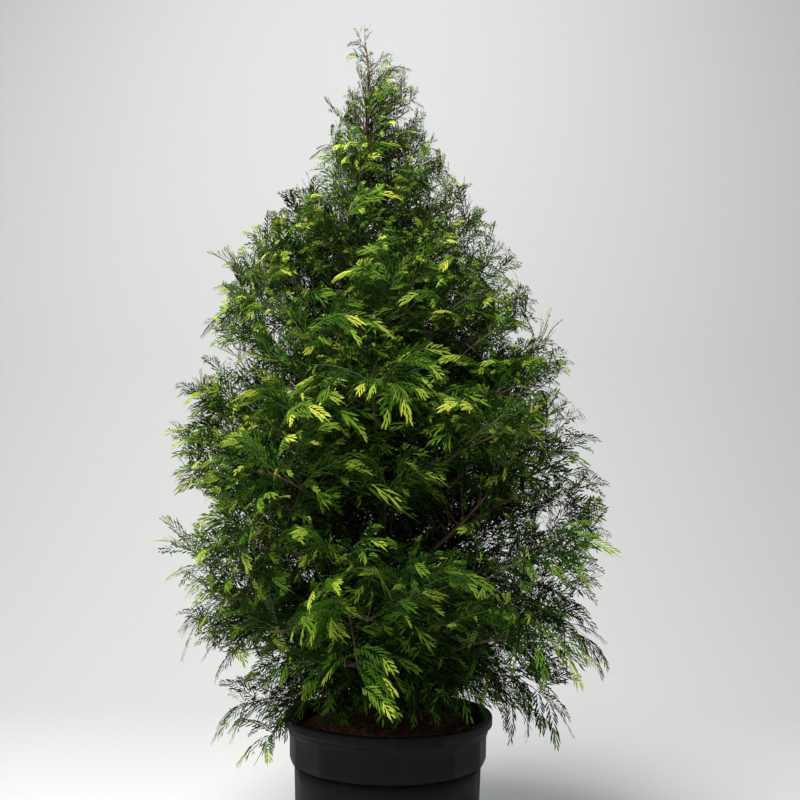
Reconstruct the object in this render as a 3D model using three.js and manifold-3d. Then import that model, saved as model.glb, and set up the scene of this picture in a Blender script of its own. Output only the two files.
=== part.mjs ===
// A thuja in a nursery pot: pot, bark mix, trunk, boughs, and masses of toothed sprays grown by a rule.
// Millimetres, +Z up. The origin is the middle of the pot's flat underside, and the front looks along -Y.
import * as THREE from "three";
import { mergeVertices } from "three/addons/utils/BufferGeometryUtils.js";
import Module from "manifold-3d";

const wasm = await Module();
wasm.setup();

// Driving dimensions
const LIP_DIAMETER = 430;
const POT_HEIGHT = 385;
const PLANT_TOP = 1873;
const CROWN_REACH = 480;
const TRUNK_DIAMETER = 38;
const CLEAR = 0.3;

// Pot: half widths are at the flats of the lip, collar, band and wall, from the top down
const LIP = LIP_DIAMETER / 2;
const LIP_DEPTH = 18;
const LIP_ROLL = 4;
const COLLAR = LIP - 9;
const COLLAR_DEPTH = 16;
const BAND = LIP - 12;
const BAND_DEPTH = 57;
const BAND_FOOT = POT_HEIGHT - LIP_DEPTH - COLLAR_DEPTH - BAND_DEPTH;
const WALL_TOP = LIP - 22;
const WALL_FOOT = LIP - 35;
const WALL = 3;
const FLOOR = 4;
const POT_SIDES = 30;
const CHAMFER = 3;
const STEP = 2;
const GRIP_ARC = THREE.MathUtils.degToRad(16);
const GRIP_TURN = THREE.MathUtils.degToRad(-84);
const GRIP_DEPTH = 6;
const GRIP_SEGMENTS = 4;
const INTO = 1;
const DRAIN_HOLES = 6;
const DRAIN_RADIUS = 8;
const DRAIN_HEIGHT = 16;
const DRAIN_SIDES = 6;

// Bark mix
const MIX_EDGE = POT_HEIGHT - 33;
const MIX_TOP = POT_HEIGHT - 23;
const MIX_FLAT = 40;
const MIX_SHOULDER = MIX_EDGE + 7;
const MIX_ROUND = 6;

// Trunk: its place and depth at marked heights, and its taper
const GROUND = MIX_TOP + CLEAR;
const TRUNK_TIP = PLANT_TOP - 126;
const LEAN = [
  [GROUND, 0, 0],
  [GROUND + 280, -9, 4],
  [GROUND + 640, -40, 7],
  [GROUND + 996, -69, 3],
  [GROUND + 1111, -61, -2],
  [TRUNK_TIP, -60, 0],
];
const TRUNK_SIDES = 12;
const TRUNK_RINGS = 16;
const RING_SPREAD = 1.5;
const TRUNK_TIP_RADIUS = 2.2;
const TRUNK_TAPER = 1.5;
const FLARE = 8;
const FLARE_HEIGHT = 22;

// Tiers of boughs from the rim up. foot and step: heights where they leave the trunk. tip, reach and
// turn: where the tips of their foliage come, reach as a share of the crown's. spray, twigs and pairs:
// the length of its sprays, the number of its twigs and the teeth on each side of a spray
const TIERS = [
  {
    name: "skirt", count: 6, foot: 434, step: 12, tip: 495, reach: 0.92, turn: 352,
    spray: 205, twigs: 4, pairs: 4, core: false,
  },
  {
    name: "low", count: 6, foot: 515, step: 17, tip: 760, reach: 1.05, turn: 20,
    spray: 215, twigs: 5, pairs: 4, core: true,
  },
  {
    name: "middle", count: 5, foot: 660, step: 22, tip: 1010, reach: 0.93, turn: 300,
    spray: 215, twigs: 6, pairs: 4, core: true,
  },
  {
    name: "high", count: 4, foot: 855, step: 27, tip: 1230, reach: 0.79, turn: 355,
    spray: 205, twigs: 5, pairs: 4, core: true,
  },
  {
    name: "shoulder", count: 5, foot: 1040, step: 30, tip: 1440, reach: 0.6, turn: 345,
    spray: 175, twigs: 4, pairs: 4, core: true,
  },
  {
    name: "spire", count: 3, foot: 1440, step: 52, tip: 1700, reach: 0.19, turn: 30,
    spray: 125, twigs: 3, pairs: 3, core: false,
  },
];
// Boughs that stand out of their tier, and what differs
const CHARACTERS = {
  skirt_1: { tip: 690, reach: 0.92, turn: 345 },
  skirt_4: { tip: 300, reach: 0.62, turn: 196 },
  skirt_5: { tip: 640, reach: 0.82, turn: 240 },
  skirt_6: { tip: 660, reach: 0.65, turn: 288 },
  middle_1: { tip: 1000, reach: 0.96, turn: 312 },
  middle_4: { tip: 990, reach: 1.0, turn: 170 },
  high_1: { tip: 1210, reach: 0.88, turn: 355 },
  shoulder_1: { tip: 1430, reach: 0.62, turn: 350 },
  shoulder_2: { tip: 1545, reach: 0.42, turn: 50 },
  shoulder_3: { tip: 1520, reach: 0.5, turn: 140 },
  shoulder_4: { tip: 1390, reach: 0.8, turn: 190 },
  shoulder_5: { tip: 1440, reach: 0.5, turn: 268 },
  spire_2: { tip: 1640, reach: 0.09, turn: 160 },
};
const TURN_JITTER = 7;
const TIP_JITTER = 25;
const ZIGZAG = 45;
const BOUGH_SHARE = 0.3;
const STEM_SHARE = 0.6;
const BOUGH_RADIUS = 6.5;
const STEM_TIP_RADIUS = 1.6;
const BOUGH_SIDES = 5;
const BOUGH_RINGS = 4;
const STEM_SIDES = 4;
const STEM_RINGS = 4;
const CURL = 0.09;
const ARCH = 60;
const RISE = 0.3;
const CROWN_LEAN = 0.5;
const BOUGH_THICK = [0.55, 0.45];

// Own space: where the heart of a mass lies along its limb, and how far things keep apart
const HEART = 0.72;
const LEADER_HEART = 0.5;
const SPACE_MARGIN = 0.6;
const LIMB_MARGIN = 6;
const LIMB_BOX = 40;
const POT_MARGIN = 9;
const SPRAY_APART = 12;
const ROOT_ZONE = 26;

// Twigs and sprays: sizes as shares of a spray's length. SHRINK is how much shorter each further try is,
// UNEVEN how far the draws spread, and SPRAY_FACES how much a spray's face looks up and outward
const TWIG_RADIUS = 2.8;
const TWIG_TIP_RADIUS = 2.4;
const TWIG_LENGTH = 0.5;
const TWIG_SPREAD = THREE.MathUtils.degToRad(52);
const TWIG_DROOP = 0.1;
const TWIG_SHRINK = 0.07;
const TWIG_UNEVEN = 0.3;
const TWIG_TAPER = 0.35;
const TWIG_TURN_UNEVEN = 1.1;
const TWIG_SPREAD_UNEVEN = 0.35;
const TWIG_BACK = 0.2;
const ROOT_RADIUS = 1;
const TEETH_FROM = 0.1;
const TEETH_SHARE = 0.84;
const TOOTH_AHEAD = [0.62, 0.12];
const NOTCH_AHEAD = [0.52, 0.1];
const NOTCH = 0.4;
const SPRAY_HALF_WIDTH = 0.36;
const SPRAY_THICKNESS = 0.012;
const SPRAY_DROOP = 0.16;
const SPRAY_SHRINK = 0.06;
const SPRAY_UNEVEN = 0.16;
const SPRAY_LEAN = [0.5, 0.2];
const SPRAY_FACES = [0.45, 0.9];
const SIDE_SHARE = 0.85;
const SIDE_TURN = [0.62, 0.78];
const TRIES = 14;
const SLIVER = 0.08;
const CORE = [0.42, 0.36, 0.3];
const CORE_UNEVEN = 0.3;
const CORE_SHRINK = [1, 0.88, 0.76, 0.64, 0.52];
const CORE_AHEAD = 18;
const CORE_KEEP = 1.5;
const LEADER = { name: "leader", spray: 48, twigs: 3, pairs: 2, core: false };
const LEADER_TIP = [-84, 2];
const LEADER_BEND = [-62, 0];
const GOLDEN = Math.PI * (3 - Math.sqrt(5));
const SEED = 20;

// Numbers between 0 and 1 that repeat for the same seed
function seeded(seed) {
  let state = seed >>> 0;
  return () => {
    state = (state + 0x6d2b79f5) >>> 0;
    let t = state;
    t = Math.imul(t ^ (t >>> 15), t | 1);
    t ^= t + Math.imul(t ^ (t >>> 7), t | 61);
    return ((t ^ (t >>> 14)) >>> 0) / 4294967296;
  };
}

const vec = (x, y, z) => new THREE.Vector3(x, y, z);
const UP = vec(0, 0, 1);
const rad = THREE.MathUtils.degToRad;
const lerp = THREE.MathUtils.lerp;

// A closed geometry as a solid that can be joined and cut
function solidOf(geometry) {
  geometry.deleteAttribute("normal");
  geometry.deleteAttribute("uv");
  const merged = mergeVertices(geometry, 1e-3);
  return new wasm.Manifold(
    new wasm.Mesh({
      numProp: 3,
      vertProperties: merged.attributes.position.array,
      triVerts: new Uint32Array(merged.index.array),
    }),
  );
}

function geometryOf(points, faces) {
  const flat = new Float32Array(points.flatMap((p) => [p.x, p.y, p.z]));
  const geometry = new THREE.BufferGeometry();
  geometry.setAttribute("position", new THREE.BufferAttribute(flat, 3));
  geometry.setIndex(faces.flat());
  return geometry;
}

function meshOf(name, solid, material) {
  const made = solid.getMesh();
  const geometry = new THREE.BufferGeometry();
  geometry.setAttribute("position", new THREE.BufferAttribute(made.vertProperties, 3));
  geometry.setIndex(new THREE.BufferAttribute(made.triVerts, 1));
  geometry.computeVertexNormals();
  const mesh = new THREE.Mesh(geometry, material);
  mesh.name = name;
  return mesh;
}

// A closed tapering tube through the points; each ring stands square to its direction
function tube(points, radii, sides, directions = headings(points)) {
  const rings = [];
  const last = points.length - 1;
  let normal = Math.abs(directions[0].z) > 0.9 ? vec(1, 0, 0) : UP;
  points.forEach((p, i) => {
    const along = directions[i];
    normal = normal.clone().addScaledVector(along, -normal.dot(along)).normalize();
    const side = along.clone().cross(normal);
    for (let k = 0; k < sides; k++) {
      const a = (2 * Math.PI * k) / sides;
      const [c, s] = [radii[i] * Math.cos(a), radii[i] * Math.sin(a)];
      rings.push(p.clone().addScaledVector(normal, c).addScaledVector(side, s));
    }
  });
  const faces = [];
  for (let i = 0; i < last; i++) {
    for (let k = 0; k < sides; k++) {
      const a = i * sides + k;
      const b = i * sides + ((k + 1) % sides);
      faces.push([a, b, b + sides], [a, b + sides, a + sides]);
    }
  }
  for (let k = 1; k < sides - 1; k++) {
    faces.push([0, k + 1, k], [last * sides, last * sides + k, last * sides + k + 1]);
  }
  return solidOf(geometryOf(rings, faces));
}

function headings(points) {
  const last = points.length - 1;
  const ahead = (i) => points[Math.min(i + 1, last)];
  const behind = (i) => points[Math.max(i - 1, 0)];
  return points.map((_, i) => ahead(i).clone().sub(behind(i)).normalize());
}

function lathe(profile, sides) {
  const geometry = new THREE.LatheGeometry(
    profile.map(([r, z]) => new THREE.Vector2(r, z)),
    sides,
  );
  return solidOf(geometry.rotateX(Math.PI / 2));
}

// Pot
function pot() {
  const lipFoot = POT_HEIGHT - LIP_DEPTH;
  const collarFoot = lipFoot - COLLAR_DEPTH;
  const outside = [
    [0, 0],
    [WALL_FOOT - CHAMFER, 0],
    [WALL_FOOT, CHAMFER],
    [WALL_TOP, BAND_FOOT - STEP],
    [BAND, BAND_FOOT],
    [BAND + INTO, collarFoot - STEP],
    [COLLAR, collarFoot],
    [COLLAR, lipFoot],
    [LIP, lipFoot],
    [LIP, POT_HEIGHT - LIP_ROLL],
    [LIP - LIP_ROLL, POT_HEIGHT],
  ];
  const inside = [
    [COLLAR - WALL, POT_HEIGHT],
    [COLLAR - WALL, collarFoot],
    [BAND - WALL, collarFoot - 3 * STEP],
    [BAND - WALL, BAND_FOOT + STEP],
    [WALL_TOP - WALL, BAND_FOOT - STEP],
    [WALL_FOOT - WALL, FLOOR],
    [0, FLOOR],
  ];
  let shell = lathe([...outside, ...inside], POT_SIDES);
  shell = shell.add(grip(lipFoot, GRIP_TURN)).add(grip(lipFoot, GRIP_TURN + Math.PI));
  for (let k = 0; k < DRAIN_HOLES; k++) {
    shell = shell.subtract(drainHole((k + 0.5) * ((2 * Math.PI) / DRAIN_HOLES)));
  }
  return shell;
}

// A finger grip: the lip runs deeper for a short arc
function grip(lipFoot, turn) {
  const shape = new THREE.Shape();
  shape.absarc(0, 0, LIP - INTO, turn - GRIP_ARC, turn + GRIP_ARC, false);
  shape.absarc(0, 0, COLLAR - INTO, turn + GRIP_ARC, turn - GRIP_ARC, true);
  const geometry = new THREE.ExtrudeGeometry(shape, {
    depth: GRIP_DEPTH + INTO,
    bevelEnabled: false,
    curveSegments: GRIP_SEGMENTS,
  });
  return solidOf(geometry.translate(0, 0, lipFoot - GRIP_DEPTH));
}

function drainHole(turn) {
  const geometry = new THREE.CylinderGeometry(DRAIN_RADIUS, DRAIN_RADIUS, 6 * WALL, DRAIN_SIDES);
  geometry.rotateZ(Math.PI / 2).translate(WALL_FOOT - WALL, 0, DRAIN_HEIGHT).rotateZ(turn);
  return solidOf(geometry);
}

// The mix fills the pot and is heaped a little towards the trunk
function barkMix() {
  const inset = WALL + CLEAR;
  return lathe(
    [
      [0, FLOOR + CLEAR],
      [WALL_FOOT - inset, FLOOR + CLEAR],
      [WALL_TOP - inset, BAND_FOOT - STEP],
      [BAND - inset, BAND_FOOT + STEP + CLEAR],
      [BAND - inset, MIX_EDGE - 2 * MIX_ROUND],
      [BAND - inset - MIX_ROUND, MIX_EDGE],
      [LIP * 0.6, MIX_SHOULDER],
      [MIX_FLAT, MIX_TOP],
      [0, MIX_TOP],
    ],
    POT_SIDES,
  );
}

// Trunk
function trunkCurve(z) {
  const last = LEAN.length - 1;
  let i = 0;
  while (i < last - 1 && z > LEAN[i + 1][0]) i++;
  const [z0] = LEAN[i];
  const [z1] = LEAN[i + 1];
  const t = (z - z0) / (z1 - z0);
  const slope = (k, c) => {
    const a = LEAN[Math.max(k - 1, 0)];
    const b = LEAN[Math.min(k + 1, last)];
    return (b[c] - a[c]) / (b[0] - a[0]);
  };
  const cubic = (c) => {
    const m0 = slope(i, c) * (z1 - z0);
    const m1 = slope(i + 1, c) * (z1 - z0);
    const rise = LEAN[i + 1][c] - LEAN[i][c];
    return LEAN[i][c] + t * (m0 + t * (3 * rise - 2 * m0 - m1 + t * (m0 + m1 - 2 * rise)));
  };
  return vec(cubic(1), cubic(2), z);
}

function trunkTaper(z) {
  const left = 1 - (z - GROUND) / (TRUNK_TIP - GROUND);
  const taper = Math.max(left, 0) ** TRUNK_TAPER;
  const flare = FLARE * Math.exp(-(z - GROUND) / FLARE_HEIGHT);
  return lerp(TRUNK_TIP_RADIUS, TRUNK_DIAMETER / 2, taper) + flare;
}

function trunkLine() {
  const line = { points: [], radii: [] };
  for (let i = 0; i < TRUNK_RINGS; i++) {
    const z = lerp(GROUND, TRUNK_TIP, (i / (TRUNK_RINGS - 1)) ** RING_SPREAD);
    line.points.push(trunkCurve(z));
    line.radii.push(trunkTaper(z));
  }
  line.directions = [UP, ...headings(line.points).slice(1)];
  return line;
}

// The trunk's middle and radius at a height, between its rings
function trunkAt(z) {
  const { points, radii } = TRUNK;
  let i = 0;
  while (i < points.length - 2 && z > points[i + 1].z) i++;
  const t = (z - points[i].z) / (points[i + 1].z - points[i].z);
  return { middle: points[i].clone().lerp(points[i + 1], t), radius: lerp(radii[i], radii[i + 1], t) };
}

const TRUNK = trunkLine();

// Limbs: where each bough leaves the trunk, how it bends, and where the tip of its foliage comes
function crownMiddle(z) {
  return trunkAt(Math.min(z, TRUNK_TIP)).middle.multiplyScalar(CROWN_LEAN).setZ(z);
}

function planLimbs() {
  const random = seeded(SEED);
  const limbs = [];
  TIERS.forEach((tier) => {
    for (let k = 0; k < tier.count; k++) {
      const jitter = [random() - 0.5, random() - 0.5, random() - 0.5];
      const own = CHARACTERS[tier.name + "_" + (k + 1)];
      const turn = own ? own.turn : tier.turn + (360 * k) / tier.count + 2 * TURN_JITTER * jitter[0];
      const tip = own ? own.tip : tier.tip + (k % 2 ? ZIGZAG : -ZIGZAG) + 2 * TIP_JITTER * jitter[1];
      const reach = CROWN_REACH * (own ? own.reach : tier.reach);
      const foot = tier.foot + tier.step * ((k * 2) % tier.count);
      limbs.push(planLimb(tier, k + 1, foot, rad(turn), tip, reach, jitter[2]));
    }
  });
  return limbs;
}

function planLimb(tier, number, foot, turn, tip, reach, curl) {
  const direct = tier.name === "spire";
  const out = vec(Math.cos(turn), Math.sin(turn), 0);
  const side = vec(-out.y, out.x, 0);
  const axis = trunkAt(foot + 5).middle.sub(trunkAt(foot - 5).middle).normalize();
  const leave = out.clone().addScaledVector(axis, -out.dot(axis)).normalize();
  const { middle, radius } = trunkAt(foot);
  const start = middle.addScaledVector(leave, radius + CLEAR);
  const end = crownMiddle(tip).addScaledVector(out, reach).setZ(tip);
  const bend = start.clone().lerp(end, 0.5);
  bend.z = start.z + Math.max(ARCH, RISE * (end.z - start.z));
  bend.addScaledVector(side, 2 * CURL * reach * curl);
  const curve = new THREE.QuadraticBezierCurve3(start, bend, end);
  const thick = BOUGH_RADIUS * (BOUGH_THICK[0] + (BOUGH_THICK[1] * reach) / CROWN_REACH);
  return { tier, number, out, leave, curve, direct, radius: direct ? TRUNK_TIP_RADIUS : thick };
}

function limbRadius(limb, t) {
  return lerp(limb.radius, STEM_TIP_RADIUS, t / STEM_SHARE);
}

function stretch(limb, from, to, rings) {
  const steps = Array.from({ length: rings }, (_, i) => lerp(from, to, i / (rings - 1)));
  return {
    points: steps.map((t) => limb.curve.getPoint(t)),
    radii: steps.map((t) => limbRadius(limb, t)),
    directions: steps.map((t) => limb.curve.getTangent(t)),
  };
}

function boughLine(limb) {
  const line = stretch(limb, 0, BOUGH_SHARE, BOUGH_RINGS);
  line.directions[0] = limb.leave;
  return line;
}

function stemLine(limb) {
  if (limb.direct) {
    const line = stretch(limb, 0, STEM_SHARE, STEM_RINGS);
    line.directions[0] = limb.leave;
    return line;
  }
  const line = stretch(limb, BOUGH_SHARE, STEM_SHARE, STEM_RINGS);
  line.points[0].addScaledVector(line.directions[0], CLEAR);
  return line;
}

// The leader goes on from the trunk's tip
function planLeader() {
  const start = trunkAt(TRUNK_TIP).middle.setZ(TRUNK_TIP + CLEAR);
  const end = vec(...LEADER_TIP, PLANT_TOP);
  const bend = vec(...LEADER_BEND, lerp(TRUNK_TIP, PLANT_TOP, 0.55));
  const curve = new THREE.QuadraticBezierCurve3(start, bend, end);
  const out = vec(-1, 0, 0);
  return { tier: LEADER, number: 1, out, leave: UP, curve, direct: true, radius: TRUNK_TIP_RADIUS };
}

// Own space: a mass keeps on its side of the plane halfway to every other mass
function centreOf(limb) {
  return limb.curve.getPoint(limb.tier === LEADER ? LEADER_HEART : HEART);
}

function inSpace(point, own, centres, girth = 0) {
  const mine = centres[own];
  return centres.every((other, i) => {
    if (i === own) return true;
    const apart = other.distanceTo(mine);
    const lead = point.distanceToSquared(other) - point.distanceToSquared(mine);
    return lead / (2 * apart) > SPACE_MARGIN + girth;
  });
}

function segmentDistance(p, a, b) {
  const ab = b.clone().sub(a);
  const t = THREE.MathUtils.clamp(p.clone().sub(a).dot(ab) / ab.lengthSq(), 0, 1);
  return p.distanceTo(a.clone().addScaledVector(ab, t));
}

function clearOfLimbs(points, lines) {
  return lines.every(({ points: line, radii, box }) =>
    points.every((p) => {
      if (!box.containsPoint(p)) return true;
      for (let i = 0; i < line.length - 1; i++) {
        const keep = Math.max(radii[i], radii[i + 1]) + LIMB_MARGIN;
        if (segmentDistance(p, line[i], line[i + 1]) < keep) return false;
      }
      return true;
    }),
  );
}

// Nothing that hangs beside the pot comes nearer to its lip than this, and nothing dips into it
function clearOfPot(p) {
  return p.z > POT_HEIGHT + POT_MARGIN || Math.hypot(p.x, p.y) > LIP + POT_MARGIN;
}

function outward(p) {
  return p.clone().sub(crownMiddle(p.z)).setZ(0).normalize();
}

function boxed(line) {
  line.box = new THREE.Box3().setFromPoints(line.points).expandByScalar(LIMB_BOX);
  const piece = (p, i) => [line.points[i], ...between(line.points[i], p, 6)];
  line.fine = line.points.slice(1).flatMap(piece);
  return line;
}

// A spray stands as one toothed blade: ridged along its rib, flat below, bent down towards its tip.
// It starts in a three-sided root, and a twig is that root carried back along its stalk
function ringOf(middle, along, face, radius) {
  const up = face.clone().addScaledVector(along, -face.dot(along)).normalize();
  const side = up.clone().cross(along);
  return [0, 1, 2].map((k) => {
    const a = (2 * Math.PI * k) / 3;
    const [c, s] = [radius * Math.cos(a), radius * Math.sin(a)];
    return middle.clone().addScaledVector(up, c).addScaledVector(side, s);
  });
}

function bladePoints(base, along, face, length, pairs) {
  const side = face.clone().cross(along);
  const at = (x, y, z) =>
    base
      .clone()
      .addScaledVector(along, x)
      .addScaledVector(side, y)
      .addScaledVector(face, z - (SPRAY_DROOP * x * x) / length);
  const half = length * SPRAY_HALF_WIDTH;
  const pitch = (TEETH_SHARE * length) / pairs;
  const points = [];
  for (let k = 0; k < pairs; k++) {
    const x = TEETH_FROM * length + pitch * (k + 0.35);
    const wide = half * Math.sin(Math.PI * (0.34 + (0.5 * k) / (pairs - 1)));
    points.push(at(x, 0, length * SPRAY_THICKNESS));
    for (const way of [1, -1]) {
      points.push(at(x + pitch * (TOOTH_AHEAD[0] + TOOTH_AHEAD[1] * way), way * wide, 0));
      points.push(at(x + pitch * (NOTCH_AHEAD[0] + NOTCH_AHEAD[1] * way), way * wide * NOTCH, 0));
    }
  }
  points.push(at(length, 0, 0));
  return points;
}

function sprig({ stalk, base, heading, face, points }) {
  const rings = stalk.map(([middle, along]) => ringOf(middle, along, face, TWIG_RADIUS));
  rings.push(ringOf(base, heading, face, stalk.length ? TWIG_TIP_RADIUS : ROOT_RADIUS));
  const all = [...rings.flat(), ...points];
  const faces = [[0, 1, 2]];
  for (let i = 0; i < rings.length - 1; i++) {
    for (const [j, k] of [[0, 1], [1, 2], [2, 0]]) {
      const [a, b] = [3 * i + j, 3 * i + k];
      faces.push([a, b + 3, b], [a, a + 3, b + 3]);
    }
  }
  const first = 3 * rings.length;
  const tip = all.length - 1;
  const pairs = (points.length - 1) / 5;
  let [rib, left, right] = [first - 3, first - 2, first - 1];
  for (let k = 0; k < pairs; k++) {
    const next = first + 5 * k;
    const [leftTooth, rightTooth] = [next + 1, next + 3];
    const [leftNotch, rightNotch] = k < pairs - 1 ? [next + 2, next + 4] : [tip, tip];
    faces.push([rib, next, left], [next, leftTooth, left], [next, leftNotch, leftTooth]);
    faces.push([rib, right, next], [next, right, rightTooth], [next, rightTooth, rightNotch]);
    faces.push([left, leftTooth, leftNotch], [right, rightNotch, rightTooth], [left, leftNotch, right]);
    if (leftNotch !== rightNotch) faces.push([right, leftNotch, rightNotch]);
    [rib, left, right] = [next, leftNotch, rightNotch];
  }
  return solidOf(geometryOf(all, faces));
}

function between(a, b, steps) {
  return Array.from({ length: steps }, (_, i) => a.clone().lerp(b, (i + 1) / steps));
}

function bladeSamples(base, points) {
  const samples = between(base, points[points.length - 1], 10);
  for (let rib = 0; rib < points.length - 1; rib += 5) {
    samples.push(...between(points[rib], points[rib + 1], 3));
    samples.push(...between(points[rib], points[rib + 3], 3));
  }
  return samples;
}

function hasRoom(mass, root, samples, girth) {
  const { own, centres, lines, taken } = mass;
  const apart = (p) => taken.every((q) => p.distanceTo(q) > SPRAY_APART);
  return (
    samples.every((p) => inSpace(p, own, centres, girth) && clearOfPot(p)) &&
    clearOfLimbs(samples, lines) &&
    samples.every((p) => p.distanceTo(root) < ROOT_ZONE || apart(p))
  );
}

function uneven(random, spread) {
  return 1 - spread / 2 + spread * random();
}

function trySpray(mass, base, along, length, n) {
  const { random, limb } = mass;
  const size = length * (1 - SPRAY_SHRINK * n) * uneven(random, SPRAY_UNEVEN);
  const lean = vec(random() - 0.5, random() - 0.5, random() - 0.5);
  lean.multiplyScalar(SPRAY_LEAN[0] + SPRAY_LEAN[1] * n);
  const heading = along.clone().addScaledVector(lean, 0.5).normalize();
  const face = UP.clone().multiplyScalar(SPRAY_FACES[0]);
  face.addScaledVector(outward(base), SPRAY_FACES[1]).add(lean);
  face.addScaledVector(heading, -face.dot(heading)).normalize();
  const points = bladePoints(base, heading, face, size, limb.tier.pairs);
  const samples = [...points, ...bladeSamples(base, points)];
  const fits = hasRoom(mass, base, samples, 0);
  return { stalk: [], base, heading, face, points, samples, fits };
}

function keepSpray(mass, one) {
  mass.sprigs.push(one);
  mass.taken.push(...one.samples);
}

function bearSpray(mass, base, along, length) {
  for (let n = 0; n < TRIES; n++) {
    const one = trySpray(mass, base, along, length, n);
    if (one.fits) return keepSpray(mass, one);
  }
}

// Where twig number j leaves the stem, and the two ways square to the stem there
function twigPlace({ stem, limb }, j) {
  const last = stem.length - 1;
  const u = ((j + 0.25) / limb.tier.twigs) * last;
  const i = Math.min(Math.floor(u), last - 1);
  const root = stem[i].clone().lerp(stem[i + 1], u - i);
  const along = stem[i + 1].clone().sub(stem[i]).normalize();
  const over = UP.clone().addScaledVector(limb.out, -TWIG_BACK);
  over.addScaledVector(along, -over.dot(along)).normalize();
  return { root, along, over, beside: along.clone().cross(over), share: u / last };
}

function tryTwig(mass, j, n, { root, along, over, beside, share }) {
  const { random, limb } = mass;
  const turn = j * GOLDEN + (random() - 0.5) * TWIG_TURN_UNEVEN;
  const spread = TWIG_SPREAD + (random() - 0.5) * TWIG_SPREAD_UNEVEN;
  const shorter = (1 - TWIG_TAPER * share) * uneven(random, TWIG_UNEVEN) * (1 - TWIG_SHRINK * n);
  const length = limb.tier.spray * TWIG_LENGTH * shorter;
  const heading = along
    .clone()
    .multiplyScalar(Math.cos(spread))
    .addScaledVector(over, Math.cos(turn) * Math.sin(spread))
    .addScaledVector(beside, Math.sin(turn) * Math.sin(spread));
  const middle = root.clone().addScaledVector(heading, length / 2);
  const end = root.clone().addScaledVector(heading, length);
  end.z -= TWIG_DROOP * length;
  const samples = [...between(root, middle, 4), ...between(middle, end, 4)];
  const away = end.clone().sub(middle).normalize();
  return { middle, end, heading, away, samples, fits: hasRoom(mass, root, samples, TWIG_RADIUS) };
}

function bearTwig(mass, j) {
  const length = mass.limb.tier.spray;
  const place = twigPlace(mass, j);
  for (let n = 0; n < TRIES; n++) {
    const { middle, end, heading, away, samples, fits } = tryTwig(mass, j, n, place);
    if (!fits) continue;
    const one = trySpray(mass, end, away, length, n);
    if (!one.fits) continue;
    one.stalk = [[place.root, heading], [middle, heading]];
    mass.taken.push(...samples);
    keepSpray(mass, one);
    const flat = UP.clone().cross(away).normalize();
    const aside = away.clone().multiplyScalar(SIDE_TURN[0]);
    aside.addScaledVector(flat, (j % 2 ? 1 : -1) * SIDE_TURN[1]).normalize();
    return bearSpray(mass, middle, aside, length * SIDE_SHARE);
  }
}

// The rule: a spray ends the stem, and twigs leave it all round by the golden angle, each with a spray at
// its end and another beside it
function growMass(limb, own, centres, lines) {
  const { points: stem } = stemLine(limb);
  const last = stem.length - 1;
  const taken = stem.slice(1).flatMap((p, i) => between(stem[i], p, 4));
  const mass = { limb, own, centres, lines, stem, taken, sprigs: [], random: seeded(SEED + 101 * own) };
  const ahead = stem[last].clone().sub(stem[last - 1]).normalize();
  bearSpray(mass, stem[last], ahead, limb.tier.spray);
  for (let j = 0; j < limb.tier.twigs; j++) bearTwig(mass, j);
  return mass.sprigs;
}

// A dense mass has a small uneven core about its stem, which shrinks until it has room
function coreSolid(limb, own, centres, lines) {
  const random = seeded(SEED + 7 * own);
  const { points: stem } = stemLine(limb);
  const along = stem[stem.length - 1].clone().sub(stem[0]).normalize();
  const over = UP.clone().addScaledVector(along, -along.z).normalize();
  const beside = over.clone().cross(along);
  const middle = stem[0].clone().lerp(stem[stem.length - 1], 0.5).addScaledVector(along, CORE_AHEAD);
  const shares = Array.from({ length: 12 }, () => uneven(random, CORE_UNEVEN));
  for (const scale of CORE_SHRINK) {
    const size = vec(...CORE).multiplyScalar(limb.tier.spray * scale);
    const frame = new THREE.Matrix4().makeBasis(along, beside, over).scale(size).setPosition(middle);
    const back = frame.clone().invert();
    const { geometry, corners } = unevenBall(shares, frame);
    const held = corners.every((p) => inSpace(p, own, centres) && clearOfPot(p));
    const inside = (p) => p.clone().applyMatrix4(back).lengthSq() < CORE_KEEP;
    if (held && !lines.some((line) => line.fine.some(inside))) return solidOf(geometry);
  }
  return null;
}

function unevenBall(shares, frame) {
  const ball = new THREE.IcosahedronGeometry(1, 0).deleteAttribute("uv").deleteAttribute("normal");
  const geometry = mergeVertices(ball);
  const at = geometry.attributes.position;
  const corners = shares.map((share, i) => {
    const corner = new THREE.Vector3().fromBufferAttribute(at, i);
    corner.multiplyScalar(share).applyMatrix4(frame);
    at.setXYZ(i, corner.x, corner.y, corner.z);
    return corner;
  });
  return { geometry, corners };
}

function massSolid(limb, own, centres, lines) {
  const { points, radii, directions } = stemLine(limb);
  let solid = tube(points, radii, STEM_SIDES, directions);
  const core = limb.tier.core ? coreSolid(limb, own, centres, lines) : null;
  if (core) solid = solid.add(core);
  for (const one of growMass(limb, own, centres, lines)) solid = solid.add(sprig(one));
  return solid.asOriginal().simplify(SLIVER);
}

// Materials
const material = (color, roughness) =>
  new THREE.MeshStandardMaterial({ color, roughness, metalness: 0, flatShading: true });
const potPlastic = () => material(0x1c1d1f, 0.55);
const bark = () => material(0x6b4630, 0.9);
const mixBrown = () => material(0x8a5632, 0.95);
const leafGreen = (shade) =>
  material(new THREE.Color().setHSL(0.27, 0.55, 0.2 + 0.08 * shade), 0.7);

// The whole plant in its pot
const group = new THREE.Group();
group.name = "potted_thuja";
group.add(meshOf("pot", pot(), potPlastic()));
group.add(meshOf("bark_mix", barkMix(), mixBrown()));
group.add(meshOf("trunk", tube(TRUNK.points, TRUNK.radii, TRUNK_SIDES, TRUNK.directions), bark()));

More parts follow.
